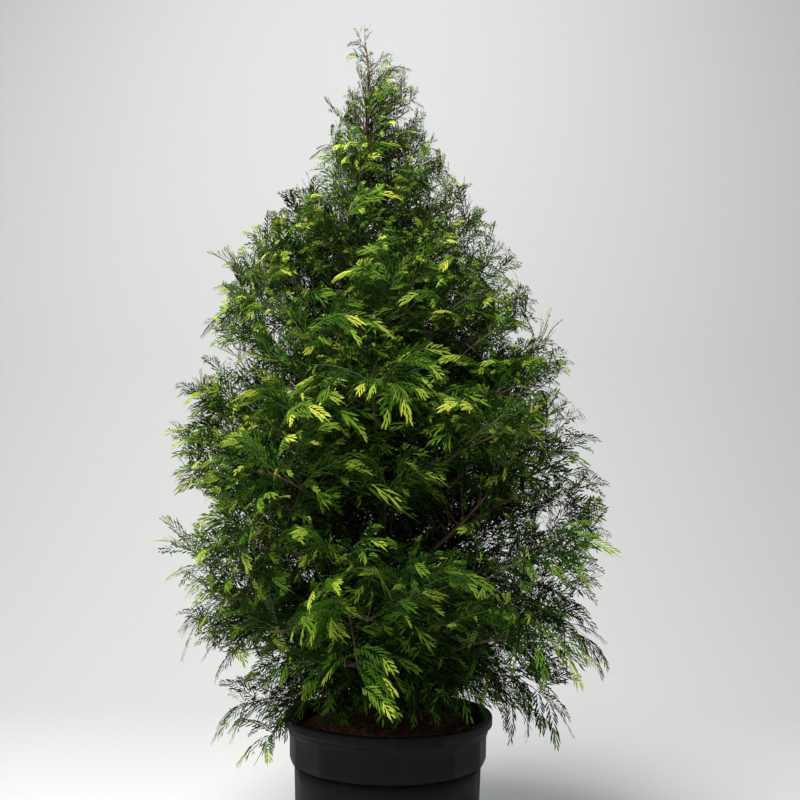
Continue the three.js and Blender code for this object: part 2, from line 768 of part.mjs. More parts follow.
const limbs = [...planLimbs(), planLeader()];
const centres = limbs.map(centreOf);
const boughs = limbs.filter((limb) => !limb.direct);
for (const limb of boughs) {
  const { points, radii, directions } = boughLine(limb);
  const solid = tube(points, radii, BOUGH_SIDES, directions);
  group.add(meshOf("bough_" + limb.tier.name + "_" + limb.number, solid, bark()));
}
const boughLines = boughs.map((limb) => boxed(boughLine(limb)));
const stemLines = limbs.map((limb) => boxed(stemLine(limb)));
limbs.forEach((limb, own) => {
  const lines = [boxed(TRUNK), ...boughLines, ...stemLines.filter((_, i) => i !== own)];
  const solid = massSolid(limb, own, centres, lines);
  group.add(meshOf("foliage_" + limb.tier.name + "_" + limb.number, solid, leafGreen(own % 3)));
});

export default group;
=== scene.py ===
import math

import bpy
import numpy as np
from mathutils import Matrix, Vector


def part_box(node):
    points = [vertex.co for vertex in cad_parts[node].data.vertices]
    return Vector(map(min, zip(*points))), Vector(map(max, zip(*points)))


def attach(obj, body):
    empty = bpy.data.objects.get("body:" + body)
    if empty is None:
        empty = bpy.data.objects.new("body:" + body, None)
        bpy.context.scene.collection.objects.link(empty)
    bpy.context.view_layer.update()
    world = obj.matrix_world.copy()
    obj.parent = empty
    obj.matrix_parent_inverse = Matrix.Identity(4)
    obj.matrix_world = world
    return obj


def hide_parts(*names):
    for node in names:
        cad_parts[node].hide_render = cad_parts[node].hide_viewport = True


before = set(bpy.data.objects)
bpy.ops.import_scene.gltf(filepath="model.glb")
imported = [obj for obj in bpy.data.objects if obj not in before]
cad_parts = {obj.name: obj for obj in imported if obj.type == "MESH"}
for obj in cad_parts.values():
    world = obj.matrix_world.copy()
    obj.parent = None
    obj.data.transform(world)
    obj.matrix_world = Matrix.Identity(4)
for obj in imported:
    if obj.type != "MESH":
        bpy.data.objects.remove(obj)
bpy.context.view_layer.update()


# The studio. A pale seamless floor rises in a wide curve behind the plant. A broad lamp hangs above in front,
# a weak one stands at the left and one lights the sweep. The camera is two metres in front, tipped up.
SWEEP_HALF_WIDTH = 6.0
SWEEP_FRONT = -6.0
SWEEP_BACK = 3.4
SWEEP_CURVE = 1.6
SWEEP_TOP = 6.5
SWEEP_STEPS = 24
PAPER_COLOR = (0.66, 0.675, 0.69)
AIR_COLOR = (0.93, 0.96, 1.0)
AIR_STRENGTH = 0.08
CAMERA_PLACE = (0.017, -2.127, 0.845)
CAMERA_PITCH = math.radians(5.14)
CAMERA_ROLL = math.radians(0.65)
CAMERA_LENS = 45


def mesh_piece(name, points, *faces, smooth=True):
    """A mesh object from points and arrays of faces, each array with its own number of corners."""
    mesh = bpy.data.meshes.new(name)
    corners = np.concatenate([np.asarray(f, np.int32).ravel() for f in faces])
    sizes = np.concatenate([np.full(len(f), np.shape(f)[1], np.int32) for f in faces])
    mesh.vertices.add(len(points))
    mesh.vertices.foreach_set("co", np.asarray(points, np.float32).ravel())
    mesh.loops.add(len(corners))
    mesh.loops.foreach_set("vertex_index", corners)
    mesh.polygons.add(len(sizes))
    mesh.polygons.foreach_set("loop_start", (np.cumsum(sizes) - sizes).astype(np.int32))
    mesh.polygons.foreach_set("use_smooth", np.full(len(sizes), smooth))
    mesh.update(calc_edges=True)
    piece = bpy.data.objects.new(name, mesh)
    bpy.context.scene.collection.objects.link(piece)
    return piece


def grid_faces(rows, columns, around=False):
    """Quads between rows of points; around joins each row's last point to its first."""
    last = columns if around else columns - 1
    i, k = np.meshgrid(np.arange(rows - 1), np.arange(last), indexing="ij")
    a = (i * columns + k).ravel()
    b = (i * columns + (k + 1) % columns).ravel()
    return np.stack([a, b, b + columns, a + columns], 1)


class Wire:
    """A socket in a finish's node tree; sums and products of wires add Math nodes."""

    def __init__(self, finish, socket):
        self.finish = finish
        self.socket = socket

    def __add__(self, other):
        return self.finish.node("Math", {"operation": "ADD"}, {0: self, 1: other})

    def __mul__(self, other):
        return self.finish.node("Math", {"operation": "MULTIPLY"}, {0: self, 1: other})

    __radd__ = __add__
    __rmul__ = __mul__


class Finish:
    """A material: its constants are set on the shader, and what varies is fed in as wires."""

    def __init__(self, name, color, **constants):
        self.material = bpy.data.materials.new(name)
        self.material.use_nodes = True
        self.material.diffuse_color = (*color, 1.0)
        self.tree = self.material.node_tree
        self.shader = self.tree.nodes["Principled BSDF"]
        self.shader.inputs["Base Color"].default_value = (*color, 1.0)
        self.paint(**constants)

    def node(self, kind, settings=None, sockets=None, output=0):
        """A new node: its settings first, then the values or wires of its sockets."""
        made = self.tree.nodes.new("ShaderNode" + kind)
        for key, value in (settings or {}).items():
            if key == "stops":
                self.set_stops(made.color_ramp.elements, value)
            else:
                setattr(made, key, value)
        for key, value in (sockets or {}).items():
            self.feed(made.inputs[key], value)
        return Wire(self, made.outputs[output])

    def set_stops(self, elements, stops):
        while len(elements) < len(stops):
            elements.new(1.0)
        for element, (place, tone) in zip(elements, stops):
            element.position = place
            element.color = (tone, tone, tone, 1.0)

    def feed(self, socket, value):
        if isinstance(value, Wire):
            self.tree.links.new(value.socket, socket)
        else:
            socket.default_value = value

    def place(self, stretch=(1.0, 1.0, 1.0)):
        """Where a point lies on the piece, drawn out or squeezed along each axis."""
        where = self.node("TexCoord", output="Object")
        return self.node("Mapping", None, {"Vector": where, "Scale": stretch})

    def noise(self, scale, stretch=(1.0, 1.0, 1.0), detail=4.0, rough=0.55):
        sockets = {"Vector": self.place(stretch), "Scale": scale, "Detail": detail, "Roughness": rough}
        return self.node("TexNoise", None, sockets)

    def ramp(self, wire, *stops):
        return self.node("ValToRGB", {"stops": stops}, {0: wire})

    def blend(self, share, one, other):
        """Colour one to the other as share goes from 0 to 1; the Mix node's colours are at 6, 7 and 2."""
        colors = [c if isinstance(c, Wire) else (*c, 1.0) for c in (one, other)]
        return self.node("Mix", {"data_type": "RGBA"}, {0: share, 6: colors[0], 7: colors[1]}, output=2)

    def bump(self, height, strength, distance):
        sockets = {"Strength": strength, "Distance": distance, "Height": height}
        return self.node("Bump", None, sockets)

    def paint(self, **values):
        for key, value in values.items():
            name = "Specular IOR Level" if key == "specular" else key.replace("_", " ").title()
            self.feed(self.shader.inputs[name], value)

    def on(self, *pieces):
        for piece in pieces:
            piece.data.materials.clear()
            piece.data.materials.append(self.material)


def make_sweep():
    turn = np.linspace(0.0, math.pi / 2, SWEEP_STEPS)
    depth = [SWEEP_FRONT, *(SWEEP_BACK - SWEEP_CURVE + SWEEP_CURVE * np.sin(turn)), SWEEP_BACK]
    height = [0.0, *(SWEEP_CURVE - SWEEP_CURVE * np.cos(turn)), SWEEP_TOP]
    rows = [(x, y, z) for y, z in zip(depth, height) for x in (-SWEEP_HALF_WIDTH, SWEEP_HALF_WIDTH)]
    sweep = mesh_piece("studio_sweep", rows, grid_faces(len(depth), 2))
    Finish("studio_paper", PAPER_COLOR, roughness=0.85).on(sweep)


def area_light(name, power, size, place, target, color=(1.0, 1.0, 1.0)):
    data = bpy.data.lights.new(name, "AREA")
    data.energy = power
    data.size = size
    data.color = color
    light = bpy.data.objects.new(name, data)
    away = Vector(place) - Vector(target)
    light.rotation_mode = "QUATERNION"
    light.rotation_quaternion = away.to_track_quat("Z", "Y")
    light.location = place
    bpy.context.scene.collection.objects.link(light)


def make_air():
    """A faint even light from all round."""
    world = bpy.data.worlds.new("studio_air")
    world.use_nodes = True
    background = world.node_tree.nodes["Background"]
    background.inputs["Color"].default_value = (*AIR_COLOR, 1.0)
    background.inputs["Strength"].default_value = AIR_STRENGTH
    bpy.context.scene.world = world


def make_camera():
    data = bpy.data.cameras.new("camera")
    data.lens = CAMERA_LENS
    camera = bpy.data.objects.new("camera", data)
    tip = Matrix.Rotation(math.pi / 2 + CAMERA_PITCH, 4, "X")
    roll = Matrix.Rotation(CAMERA_ROLL, 4, "Z")
    camera.matrix_world = Matrix.Translation(CAMERA_PLACE) @ tip @ roll
    bpy.context.scene.collection.objects.link(camera)
    bpy.context.scene.camera = camera


make_sweep()
make_camera()
make_air()
area_light("light_above", power=285, size=1.7, place=(-0.9, -1.7, 4.0), target=(0.0, 0.0, 1.0),
           color=(1.0, 0.975, 0.92))
area_light("light_left", power=16, size=2.0, place=(-3.0, -1.2, 2.6), target=(-0.2, 0.0, 1.0))
area_light("light_wall", power=52, size=3.0, place=(0.0, 0.9, 5.2), target=(0.0, 2.9, 1.0))
bpy.context.scene.view_settings.view_transform = "Standard"


# The pot, blow-moulded from black plastic in one piece. Its tapering wall carries a deeper band in faint
# flat panels, a collar, and a rolled lip with a finger grip front and back. Six drain holes are low down.
POT_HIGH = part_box("pot")[1]
POT_HEIGHT = POT_HIGH.z
LIP = POT_HIGH.y
LIP_FOOT = POT_HEIGHT - 0.018
LIP_ROLL = 0.004
EDGE_ROLL = 0.0015
FOOT_ROLL = 0.005
COLLAR = LIP - 0.009
COLLAR_FOOT = LIP_FOOT - 0.016
BAND = LIP - 0.012
BAND_FOOT = COLLAR_FOOT - 0.057
WALL_TOP = LIP - 0.022
WALL_FOOT = LIP - 0.035
WALL = 0.003
POT_FLOOR = 0.004
POT_SIDES = 256
WALL_RINGS = 12
BAND_RINGS = 5
PANELS = 14
PANEL_DEPTH = 0.75
WALL_PANEL_DEPTH = 0.3
WALL_PANEL_FOOT = 0.12
GROOVE = 0.0023
GROOVE_HEIGHT = 0.0038
GRIP_TURN = math.radians(-74)
GRIP_ARC = math.radians(16)
GRIP_DEPTH = 0.007
GRIP_FLARE = 0.003
GRIP_SLOPE = 0.04
WARP_HEIGHT = 0.09
RIM_WAVE = 0.0012
RIM_RIPPLE = 0.0006
OUT_OF_ROUND = 0.0022
DRAIN_HOLES = 6
DRAIN_RADIUS = 0.008
DRAIN_HEIGHT = 0.016
DRAIN_SIDES = 24
DRAIN_REACH = 0.02


def curl(middle, radius, start, end, steps):
    """Points of a round edge in the profile, as radius and height."""
    turns = np.radians(np.linspace(start, end, steps))
    return [(middle[0] + radius * math.cos(t), middle[1] + radius * math.sin(t)) for t in turns]


def pot_profile():
    """The wall as radius and height, from the underside up, over the lip and down to the floor inside."""
    under = [(0.06, 0.0), (0.12, 0.0), (WALL_FOOT - 0.008, 0.0)]
    foot = curl((WALL_FOOT - FOOT_ROLL, FOOT_ROLL), FOOT_ROLL, -90, -10, 5)
    wall = np.linspace((WALL_FOOT, 0.006), (WALL_TOP, BAND_FOOT - 0.006), WALL_RINGS).tolist()
    groove = [(WALL_TOP - 0.0006, BAND_FOOT - 0.0054), (WALL_TOP - GROOVE, BAND_FOOT - GROOVE_HEIGHT),
              (WALL_TOP - GROOVE, BAND_FOOT + 0.0006)]
    step = [(BAND - 0.002, BAND_FOOT), (BAND - 0.0004, BAND_FOOT + 0.0004)]
    band = np.linspace((BAND, BAND_FOOT + 0.002), (BAND + 0.001, BAND_FOOT + 0.054), BAND_RINGS).tolist()
    collar = [(BAND + 0.0015, COLLAR_FOOT - 0.002), (COLLAR - 0.0006, COLLAR_FOOT - 0.0006),
              (COLLAR, COLLAR_FOOT + 0.001), (COLLAR, LIP_FOOT - 0.007), (COLLAR, LIP_FOOT - 0.001)]
    lip = curl((LIP - EDGE_ROLL, LIP_FOOT + EDGE_ROLL), EDGE_ROLL, -90, 0, 4)
    roll = curl((LIP - LIP_ROLL, POT_HEIGHT - LIP_ROLL), LIP_ROLL, 0, 90, 7)
    inside = curl((COLLAR - WALL + EDGE_ROLL, POT_HEIGHT - EDGE_ROLL), EDGE_ROLL, 90, 180, 4)
    down = [(COLLAR - WALL, COLLAR_FOOT), (BAND - WALL, COLLAR_FOOT - 0.006),
            (BAND - WALL, BAND_FOOT + 0.002), (WALL_TOP - WALL, BAND_FOOT - 0.002),
            (WALL_FOOT - WALL, POT_FLOOR)]
    return np.array(under + foot + wall + groove + step + band + collar + lip + roll + inside + down)


def pot_points(profile):
    """The profile turned round its axis, with flat panels in band and wall and a rim a little out of true."""
    reach, rise = profile[:, 0], profile[:, 1]
    turn = np.linspace(0, 2 * math.pi, POT_SIDES, endpoint=False)
    radius, height = (np.repeat(profile[:, c:c + 1], POT_SIDES, 1) for c in (0, 1))
    panel = 2 * math.pi / PANELS
    flat = math.cos(panel / 2) / np.cos(np.mod(turn, panel) - panel / 2) - 1
    banded = (rise > BAND_FOOT - 0.004) & (rise < COLLAR_FOOT) & (reach > WALL_TOP)
    radius[banded] *= 1 + PANEL_DEPTH * flat
    walled = (rise < BAND_FOOT - 0.004) & (reach > WALL_FOOT - 0.001)
    fade = np.clip((rise[walled, None] - WALL_PANEL_FOOT) / (BAND_FOOT - WALL_PANEL_FOOT), 0, 1)
    radius[walled] *= 1 + WALL_PANEL_DEPTH * fade * flat
    under_lip = (np.abs(rise - LIP_FOOT) < 0.002) & (reach > COLLAR + 0.001)
    for way in (0, math.pi):
        off = np.abs(np.mod(turn - GRIP_TURN - way + math.pi, 2 * math.pi) - math.pi)
        grip = np.clip((GRIP_ARC - off) / GRIP_SLOPE, 0, 1) ** 0.7
        height[under_lip] -= GRIP_DEPTH * grip
        radius[under_lip] += GRIP_FLARE * grip
    warp = np.clip((rise[:, None] - BAND_FOOT) / WARP_HEIGHT, 0, 1)
    height += warp * (RIM_WAVE * np.sin(2 * turn + 0.6) + RIM_RIPPLE * np.sin(5 * turn))
    radius *= 1 + OUT_OF_ROUND * warp * np.sin(3 * turn + 1.0)
    return np.stack([radius * np.cos(turn), radius * np.sin(turn), height], 2).reshape(-1, 3)


def drain_cutter():
    """Round bars that stand through the wall where water drains."""
    points, quads, ends = [], [], []
    for k in range(DRAIN_HOLES):
        turn = (k + 0.5) * 2 * math.pi / DRAIN_HOLES
        out = np.array([math.cos(turn), math.sin(turn), 0])
        beside = np.array([-math.sin(turn), math.cos(turn), 0])
        first = len(points)
        for reach in (WALL_FOOT - DRAIN_REACH, WALL_FOOT + DRAIN_REACH):
            for a in np.linspace(0, 2 * math.pi, DRAIN_SIDES, endpoint=False):
                rise = DRAIN_HEIGHT + DRAIN_RADIUS * math.sin(a)
                points.append(out * reach + beside * DRAIN_RADIUS * math.cos(a) + (0, 0, rise))
        quads.append(first + grid_faces(2, DRAIN_SIDES, around=True))
        ring = np.arange(DRAIN_SIDES)
        ends += [first + ring[::-1], first + DRAIN_SIDES + ring]
    return mesh_piece("drain_cutter", points, np.concatenate(quads), ends)


def cut_away(piece, cutter):
    """The cutter's shape taken out of the piece, for good."""
    cut = piece.modifiers.new("cut", "BOOLEAN")
    cut.operation = "DIFFERENCE"
    cut.solver = "EXACT"
    cut.object = cutter
    graph = bpy.context.evaluated_depsgraph_get()
    piece.data = bpy.data.meshes.new_from_object(piece.evaluated_get(graph))
    piece.modifiers.clear()
    bpy.data.objects.remove(cutter)


def pot_plastic():
    """Black plastic gone grey: rain streaks, dust, fine moulded grain, and painted shade under the steps."""
    plastic = Finish("pot_plastic", (0.010, 0.0105, 0.012), specular=0.14)
    streaks = plastic.ramp(plastic.noise(9, (9.0, 9.0, 0.5), 5.0), (0.42, 0.0), (0.72, 1.0))
    patches = plastic.ramp(plastic.noise(14, (1.0, 1.0, 1.0), 6.0, 0.6), (0.35, 0.0), (0.8, 1.0))
    streaked = plastic.blend(streaks * 0.5, (0.0014, 0.0016, 0.0022), (0.009, 0.0095, 0.0115))
    dusty = plastic.blend(patches * 0.3, streaked, (0.015, 0.0148, 0.0145))
    # Painted shade: the wall goes near black just under the band's step and almost as dark under the
    # collar's.
    height = plastic.node("SeparateXYZ", None, {"Vector": plastic.place()}, output="Z")
    under_band = ((BAND_FOOT - 0.012, 0.0), (BAND_FOOT - 0.004, 1.0),
                  (BAND_FOOT + 0.0005, 1.0), (BAND_FOOT + 0.002, 0.0))
    under_collar = ((COLLAR_FOOT - 0.006, 0.0), (COLLAR_FOOT - 0.001, 0.8), (COLLAR_FOOT + 0.001, 0.0))
    painted_shade_under_steps = plastic.ramp(height, (0.0, 0.0), *under_band, *under_collar)
    color = plastic.blend(painted_shade_under_steps, dusty, (0.0003, 0.0003, 0.0004))
    grain = plastic.noise(900, (1.0, 1.0, 1.0), 2.0)
    waves = plastic.noise(26, (1.0, 1.0, 0.25), 2.0)
    relief = plastic.bump(waves * 0.6 + grain * 0.12, 0.5, 0.0012)
    # The painted shade under the steps also makes the plastic rougher there.
    roughness = 0.5 + patches * 0.2 + streaks * 0.08 + painted_shade_under_steps * 0.2
    plastic.paint(base_color=color, roughness=roughness, normal=relief)
    return plastic


def make_pot():
    profile = pot_profile()
    ring = np.arange(POT_SIDES)
    sides = grid_faces(len(profile), POT_SIDES, around=True)
    under, floor = [ring[::-1]], [(len(profile) - 1) * POT_SIDES + ring]
    pot = mesh_piece("pot_shell", pot_points(profile), sides, under, floor)
    cut_away(pot, drain_cutter())
    pot_plastic().on(pot)
    return pot


pot = make_pot()
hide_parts("pot")
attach(pot, "root")


# The bark mix that fills the pot: a bed of fines, heaped a little at the trunk, under loose chips of orange,
# brown and weathered bark, broken flat along the grain.
MIX_EDGE = POT_HEIGHT - 0.033
MIX_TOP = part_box("bark_mix")[1].z
MIX_REACH = BAND - WALL - 0.0008
BED_SIDES = 160
BED_RINGS = 60
FINES_HEIGHT = 0.003
CHIPS = 1100
CHIPS_START = 0.026
CHIP_SIZE = np.array([0.006, 0.0035, 0.0012])
CHIP_GROWTH = np.array([0.012, 0.005, 0.0018])
GOLDEN = math.pi * (3 - math.sqrt(5))
NOISE_ROWS = 509
CHIP_TONES = {
    "orange": ((0.64, 0.28, 0.1), (0.34, 0.14, 0.055)),
    "brown": ((0.4, 0.19, 0.09), (0.18, 0.088, 0.047)),
    "weathered": ((0.36, 0.27, 0.2), (0.15, 0.11, 0.085)),
}


def seeded(seed):
    """Numbers between 0 and 1 that repeat for the same seed."""
    state = seed & 0xFFFFFFFF

    def draw():
        nonlocal state
        state = (state + 0x6D2B79F5) & 0xFFFFFFFF
        t = state
        t = ((t ^ (t >> 15)) * (t | 1)) & 0xFFFFFFFF
        t ^= (t + ((t ^ (t >> 7)) * (t | 61))) & 0xFFFFFFFF
        return ((t ^ (t >> 14)) & 0xFFFFFFFF) / 4294967296

    return draw


def soft_noise(u, v, wrap, seed):
    """Smooth uneven values from 0 to 1 over a plane that repeats every wrap cells along u."""
    grid = np.random.default_rng(seed).random((NOISE_ROWS, wrap))
    u, v = np.broadcast_arrays(u, v)
    a, b = np.floor(u).astype(int), np.floor(v).astype(int)
    s, t = u - a, v - b
    s, t = s * s * (3 - 2 * s), t * t * (3 - 2 * t)

    def corner(i, k):
        return grid[(b + k) % NOISE_ROWS, (a + i) % wrap]

    low = corner(0, 0) * (1 - s) + corner(1, 0) * s
    high = corner(0, 1) * (1 - s) + corner(1, 1) * s
    return low * (1 - t) + high * t


def heap(radius):
    """The bed's height at a distance from the pot's axis."""
    return np.interp(radius, [0, 0.04, 0.6 * LIP, MIX_REACH - 0.008, MIX_REACH],
                     [MIX_TOP, MIX_TOP, MIX_EDGE + 0.007, MIX_EDGE, MIX_EDGE - 0.006])


def make_bed():
    turn = np.linspace(0, 2 * math.pi, BED_SIDES, endpoint=False)
    reach = np.linspace(0.002, MIX_REACH, BED_RINGS)[:, None]
    around = turn / (2 * math.pi)
    lumps = soft_noise(around * 60, reach / 0.008, 60, 3)
    lumps += 0.5 * soft_noise(around * 150, reach / 0.003, 150, 4)
    top = heap(reach) - FINES_HEIGHT + FINES_HEIGHT * lumps
    wall = [[MIX_REACH, BAND_FOOT + 0.003], [WALL_TOP - WALL - 0.001, BAND_FOOT - 0.003],
            [WALL_FOOT - WALL - 0.001, POT_FLOOR + 0.0005]]
    radius = np.concatenate([np.repeat(reach, BED_SIDES, 1), *([[r] * BED_SIDES] for r, _ in wall)])
    height = np.concatenate([top, *([[z] * BED_SIDES] for _, z in wall)])
    points = np.stack([radius * np.cos(turn), radius * np.sin(turn), height], 2).reshape(-1, 3)
    ring = np.arange(BED_SIDES)
    sides = grid_faces(len(radius), BED_SIDES, around=True)[:, ::-1]
    bed = mesh_piece("mix_bed", points, sides, [ring], [((len(radius) - 1) * BED_SIDES + ring)[::-1]])
    fines = Finish("mix_fines", (0.05, 0.026, 0.014), roughness=0.95)
    crumbs = fines.ramp(fines.noise(420, detail=3.0), (0.38, 0.0), (0.68, 1.0))
    fines.paint(base_color=fines.blend(crumbs, (0.028, 0.016, 0.01), (0.15, 0.066, 0.03)),
                normal=fines.bump(crumbs, 0.8, 0.002))
    fines.on(bed)
    return bed


def chip_points(draw, size):
    """A broken slab with uneven corners, some thicker and some thinner."""
    corners = []
    for z in (-1, 1):
        for x, y in ((-1, -1), (1, -1), (1, 1), (-1, 1)):
            worn = [0.72 + 0.5 * draw() for _ in range(3)]
            corners.append((x * worn[0], y * worn[1] * (1 - 0.25 * draw()), z * worn[2]))
    return np.array(corners) * size


def make_chips():
    draw = seeded(77)
    box = np.array([[3, 2, 1, 0], [4, 5, 6, 7], [0, 1, 5, 4], [1, 2, 6, 5], [2, 3, 7, 6], [3, 0, 4, 7]])
    sacks = {tone: ([], []) for tone in CHIP_TONES}
    for k in range(CHIPS):
        size = CHIP_SIZE + CHIP_GROWTH * (draw() ** 1.6, draw(), draw())
        radius = CHIPS_START + (MIX_REACH - 0.02 - CHIPS_START - size[0]) * math.sqrt((k + 0.5) / CHIPS)
        turn = k * GOLDEN + 0.4 * draw()
        tone = list(CHIP_TONES)[int(min(2, 3 * draw() ** 1.15))]
        tip = Matrix.Rotation(0.7 * (draw() - 0.5), 3, "X") @ Matrix.Rotation(0.6 * (draw() - 0.5), 3, "Y")
        turned = np.array(Matrix.Rotation(2 * math.pi * draw(), 3, "Z") @ tip)
        height = float(heap(radius)) + 0.001 + 0.0035 * draw()
        place = (radius * math.cos(turn), radius * math.sin(turn), height)
        points, faces = sacks[tone]
        faces.append(box + 8 * len(points))
        points.append(chip_points(draw, size) @ turned.T + place)
    chips = []
    for tone, (points, faces) in sacks.items():
        chip = mesh_piece("chips_" + tone, np.concatenate(points), np.concatenate(faces), smooth=False)
        light, dark = CHIP_TONES[tone]
        wood = Finish("bark_chip_" + tone, light, roughness=0.88)
        grain = wood.ramp(wood.noise(160, (1.0, 0.35, 2.0), 5.0), (0.33, 0.0), (0.7, 1.0))
        wood.paint(base_color=wood.blend(grain, dark, light), normal=wood.bump(grain, 0.5, 0.001))
        wood.on(chip)
        chips.append(chip)
    return chips


for piece in [make_bed(), *make_chips()]:
    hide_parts("bark_mix")
    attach(piece, "root")


# The trunk, one slender leader that leans left as it rises and flares where it meets the mix. Its bark is
# thin, red-brown and fibrous, weathered grey on the ridges, and peels in narrow upright strips.
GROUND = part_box("trunk")[0].z
TRUNK_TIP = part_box("trunk")[1].z
PLANT_TOP = TRUNK_TIP + 0.126
TRUNK_RADIUS = 0.019
TRUNK_TIP_RADIUS = 0.0022
TRUNK_TAPER = 1.5
FLARE = 0.008
FLARE_HEIGHT = 0.022
LEAN = [
    (GROUND, 0.0, 0.0),
    (GROUND + 0.280, -0.009, 0.004),
    (GROUND + 0.640, -0.040, 0.007),
    (GROUND + 0.996, -0.069, 0.003),
    (GROUND + 1.111, -0.061, -0.002),
    (TRUNK_TIP, -0.060, 0.0),
]
BARK_RINGS = 420
BARK_SIDES = 48
UP = np.array([0.0, 0.0, 1.0])


def unit(v):
    return v / np.linalg.norm(v)


def trunk_middle(z):
    """The middle of the trunk at a height, on a smooth curve through the points of its lean."""
    last = len(LEAN) - 1
    i = 0
    while i < last - 1 and z > LEAN[i + 1][0]:
        i += 1
    rise = LEAN[i + 1][0] - LEAN[i][0]
    t = (z - LEAN[i][0]) / rise

    def slope(k, c):
        a, b = LEAN[max(k - 1, 0)], LEAN[min(k + 1, last)]
        return (b[c] - a[c]) / (b[0] - a[0])

    def cubic(c):
        m0, m1 = slope(i, c) * rise, slope(i + 1, c) * rise
        gain = LEAN[i + 1][c] - LEAN[i][c]
        return LEAN[i][c] + t * (m0 + t * (3 * gain - 2 * m0 - m1 + t * (m0 + m1 - 2 * gain)))

    return np.array([cubic(1), cubic(2), z])


def trunk_radius(z):
    left = max(1 - (z - GROUND) / (TRUNK_TIP - GROUND), 0) ** TRUNK_TAPER
    flare = FLARE * math.exp(-(z - GROUND) / FLARE_HEIGHT)
    return TRUNK_TIP_RADIUS + (TRUNK_RADIUS - TRUNK_TIP_RADIUS) * left + flare


def tube(points, radii, sides, relief=None):
    """Points and quads of a limb: rings square to the line, pushed in and out by a relief."""
    points, radii = np.asarray(points), np.asarray(radii)
    along = np.gradient(points, axis=0)
    along /= np.linalg.norm(along, axis=1)[:, None]
    normal = np.array([1.0, 0, 0]) if abs(along[0][2]) > 0.9 else UP
    normals = []
    for a in along:
        normal = unit(normal - a * normal.dot(a))
        normals.append(normal)
    normals = np.array(normals)
    beside = np.cross(along, normals)
    turn = np.linspace(0, 2 * math.pi, sides, endpoint=False)
    length = np.concatenate([[0], np.cumsum(np.linalg.norm(np.diff(points, axis=0), axis=1))])
    reach = np.repeat(radii[:, None], sides, 1)
    if relief is not None:
        reach = reach + relief(turn[None, :], length[:, None], reach)
    rings = points[:, None] + reach[..., None] * (
        normals[:, None] * np.cos(turn)[None, :, None] + beside[:, None] * np.sin(turn)[None, :, None])
    return rings.reshape(-1, 3), grid_faces(len(points), sides, around=True)


class Bundle:
    """Many like parts gathered into one mesh of triangles."""

    def __init__(self):
        self.points = []
        self.faces = []
        self.corners = 0
        self.triangles = 0

    def add(self, points, faces):
        self.points.append(points)
        self.faces.append(np.asarray(faces) + self.corners)
        self.corners += len(points)
        self.triangles += len(faces)

    def add_limb(self, points, radii, sides, relief=None):
        """A limb that closes in a blunt point at its tip."""
        rings, quads = tube(points, radii, sides, relief)
        tip = np.asarray(points)[-1:] + 0.5 * radii[-1] * unit(points[-1] - points[-2])
        ring = np.arange(sides) + len(rings) - sides
        cap = np.stack([ring, np.roll(ring, -1), np.full(sides, len(rings))], 1)
        triangles = [quads[:, [0, 1, 2]], quads[:, [0, 2, 3]], cap]
        self.add(np.concatenate([rings, tip]), np.concatenate(triangles))

    def piece(self, name, smooth=True):
        return mesh_piece(name, np.concatenate(self.points), np.concatenate(self.faces), smooth=smooth)


def stringy(turn, length, radius):
    """Bark relief: long narrow fibres, with wider strips lifting between them."""
    around = turn / (2 * math.pi)
    sway = 1.6 * soft_noise(around * 4, length / 0.11, 4, 21)
    strips = soft_noise(around * 11 + sway, length / 0.16, 11, 22)
    fibres = soft_noise(around * 30 + 2 * sway, length / 0.05, 30, 23)
    edge = np.clip((np.abs(strips - 0.5) - 0.03) / 0.06, 0, 1)
    depth = np.minimum(radius * 0.09, 0.0013)
    return depth * (0.9 * (strips - 0.5) + 0.6 * (fibres - 0.5) + 0.5 * (edge - 1))


def bark(name, fresh, weathered, scale):
    """Stringy bark: red-brown in the furrows and greyer on the strips, all drawn out along the limb."""
    skin = Finish(name, fresh)
    strips = skin.ramp(skin.noise(scale, (1.0, 1.0, 0.12), 6.0, 0.6), (0.36, 0.0), (0.66, 1.0))
    specks = skin.ramp(skin.noise(scale * 2.6, (1.0, 1.0, 0.5), 3.0), (0.52, 0.0), (0.74, 1.0))
    color = skin.blend(specks * 0.45, skin.blend(strips, fresh, weathered), (0.3, 0.2, 0.14))
    skin.paint(base_color=color, roughness=0.72 + strips * 0.2, normal=skin.bump(strips, 0.55, 0.0008))
    return skin


def make_trunk():
    heights = GROUND + (TRUNK_TIP - GROUND) * np.linspace(0, 1, BARK_RINGS) ** 1.1
    trunk = Bundle()
    middles = [trunk_middle(z) for z in heights]
    trunk.add_limb(middles, np.array([trunk_radius(z) for z in heights]), BARK_SIDES, stringy)
    return trunk.piece("trunk_bark")


trunk = make_trunk()
bark("trunk_bark", (0.2, 0.08, 0.036), (0.27, 0.17, 0.11), 190).on(trunk)
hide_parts("trunk")
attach(trunk, "root")


# The boughs, which leave the trunk in tiers from the rim up, arch out and thin evenly. They are planned by
# the source's own rule, with the same draws, and each goes on as the stem of its mass of foliage.
CLEAR = 0.0003
CROWN_REACH = 0.480
SEED = 20
TIER_WORDS = ("name", "count", "foot", "step", "tip", "reach", "turn", "spray", "twigs")
TIER_ROWS = [
    ("skirt", 6, 0.434, 0.012, 0.495, 0.92, 352, 0.205, 4),
    ("low", 6, 0.515, 0.017, 0.760, 1.05, 20, 0.215, 5),
    ("middle", 5, 0.660, 0.022, 1.010, 0.93, 300, 0.215, 6),
    ("high", 4, 0.855, 0.027, 1.230, 0.79, 355, 0.205, 5),
    ("shoulder", 5, 1.040, 0.030, 1.440, 0.6, 345, 0.175, 4),
    ("spire", 3, 1.440, 0.052, 1.700, 0.19, 30, 0.125, 3),
]
TIERS = [dict(zip(TIER_WORDS, row)) for row in TIER_ROWS]
LEADER = dict(name="leader", spray=0.048, twigs=3)
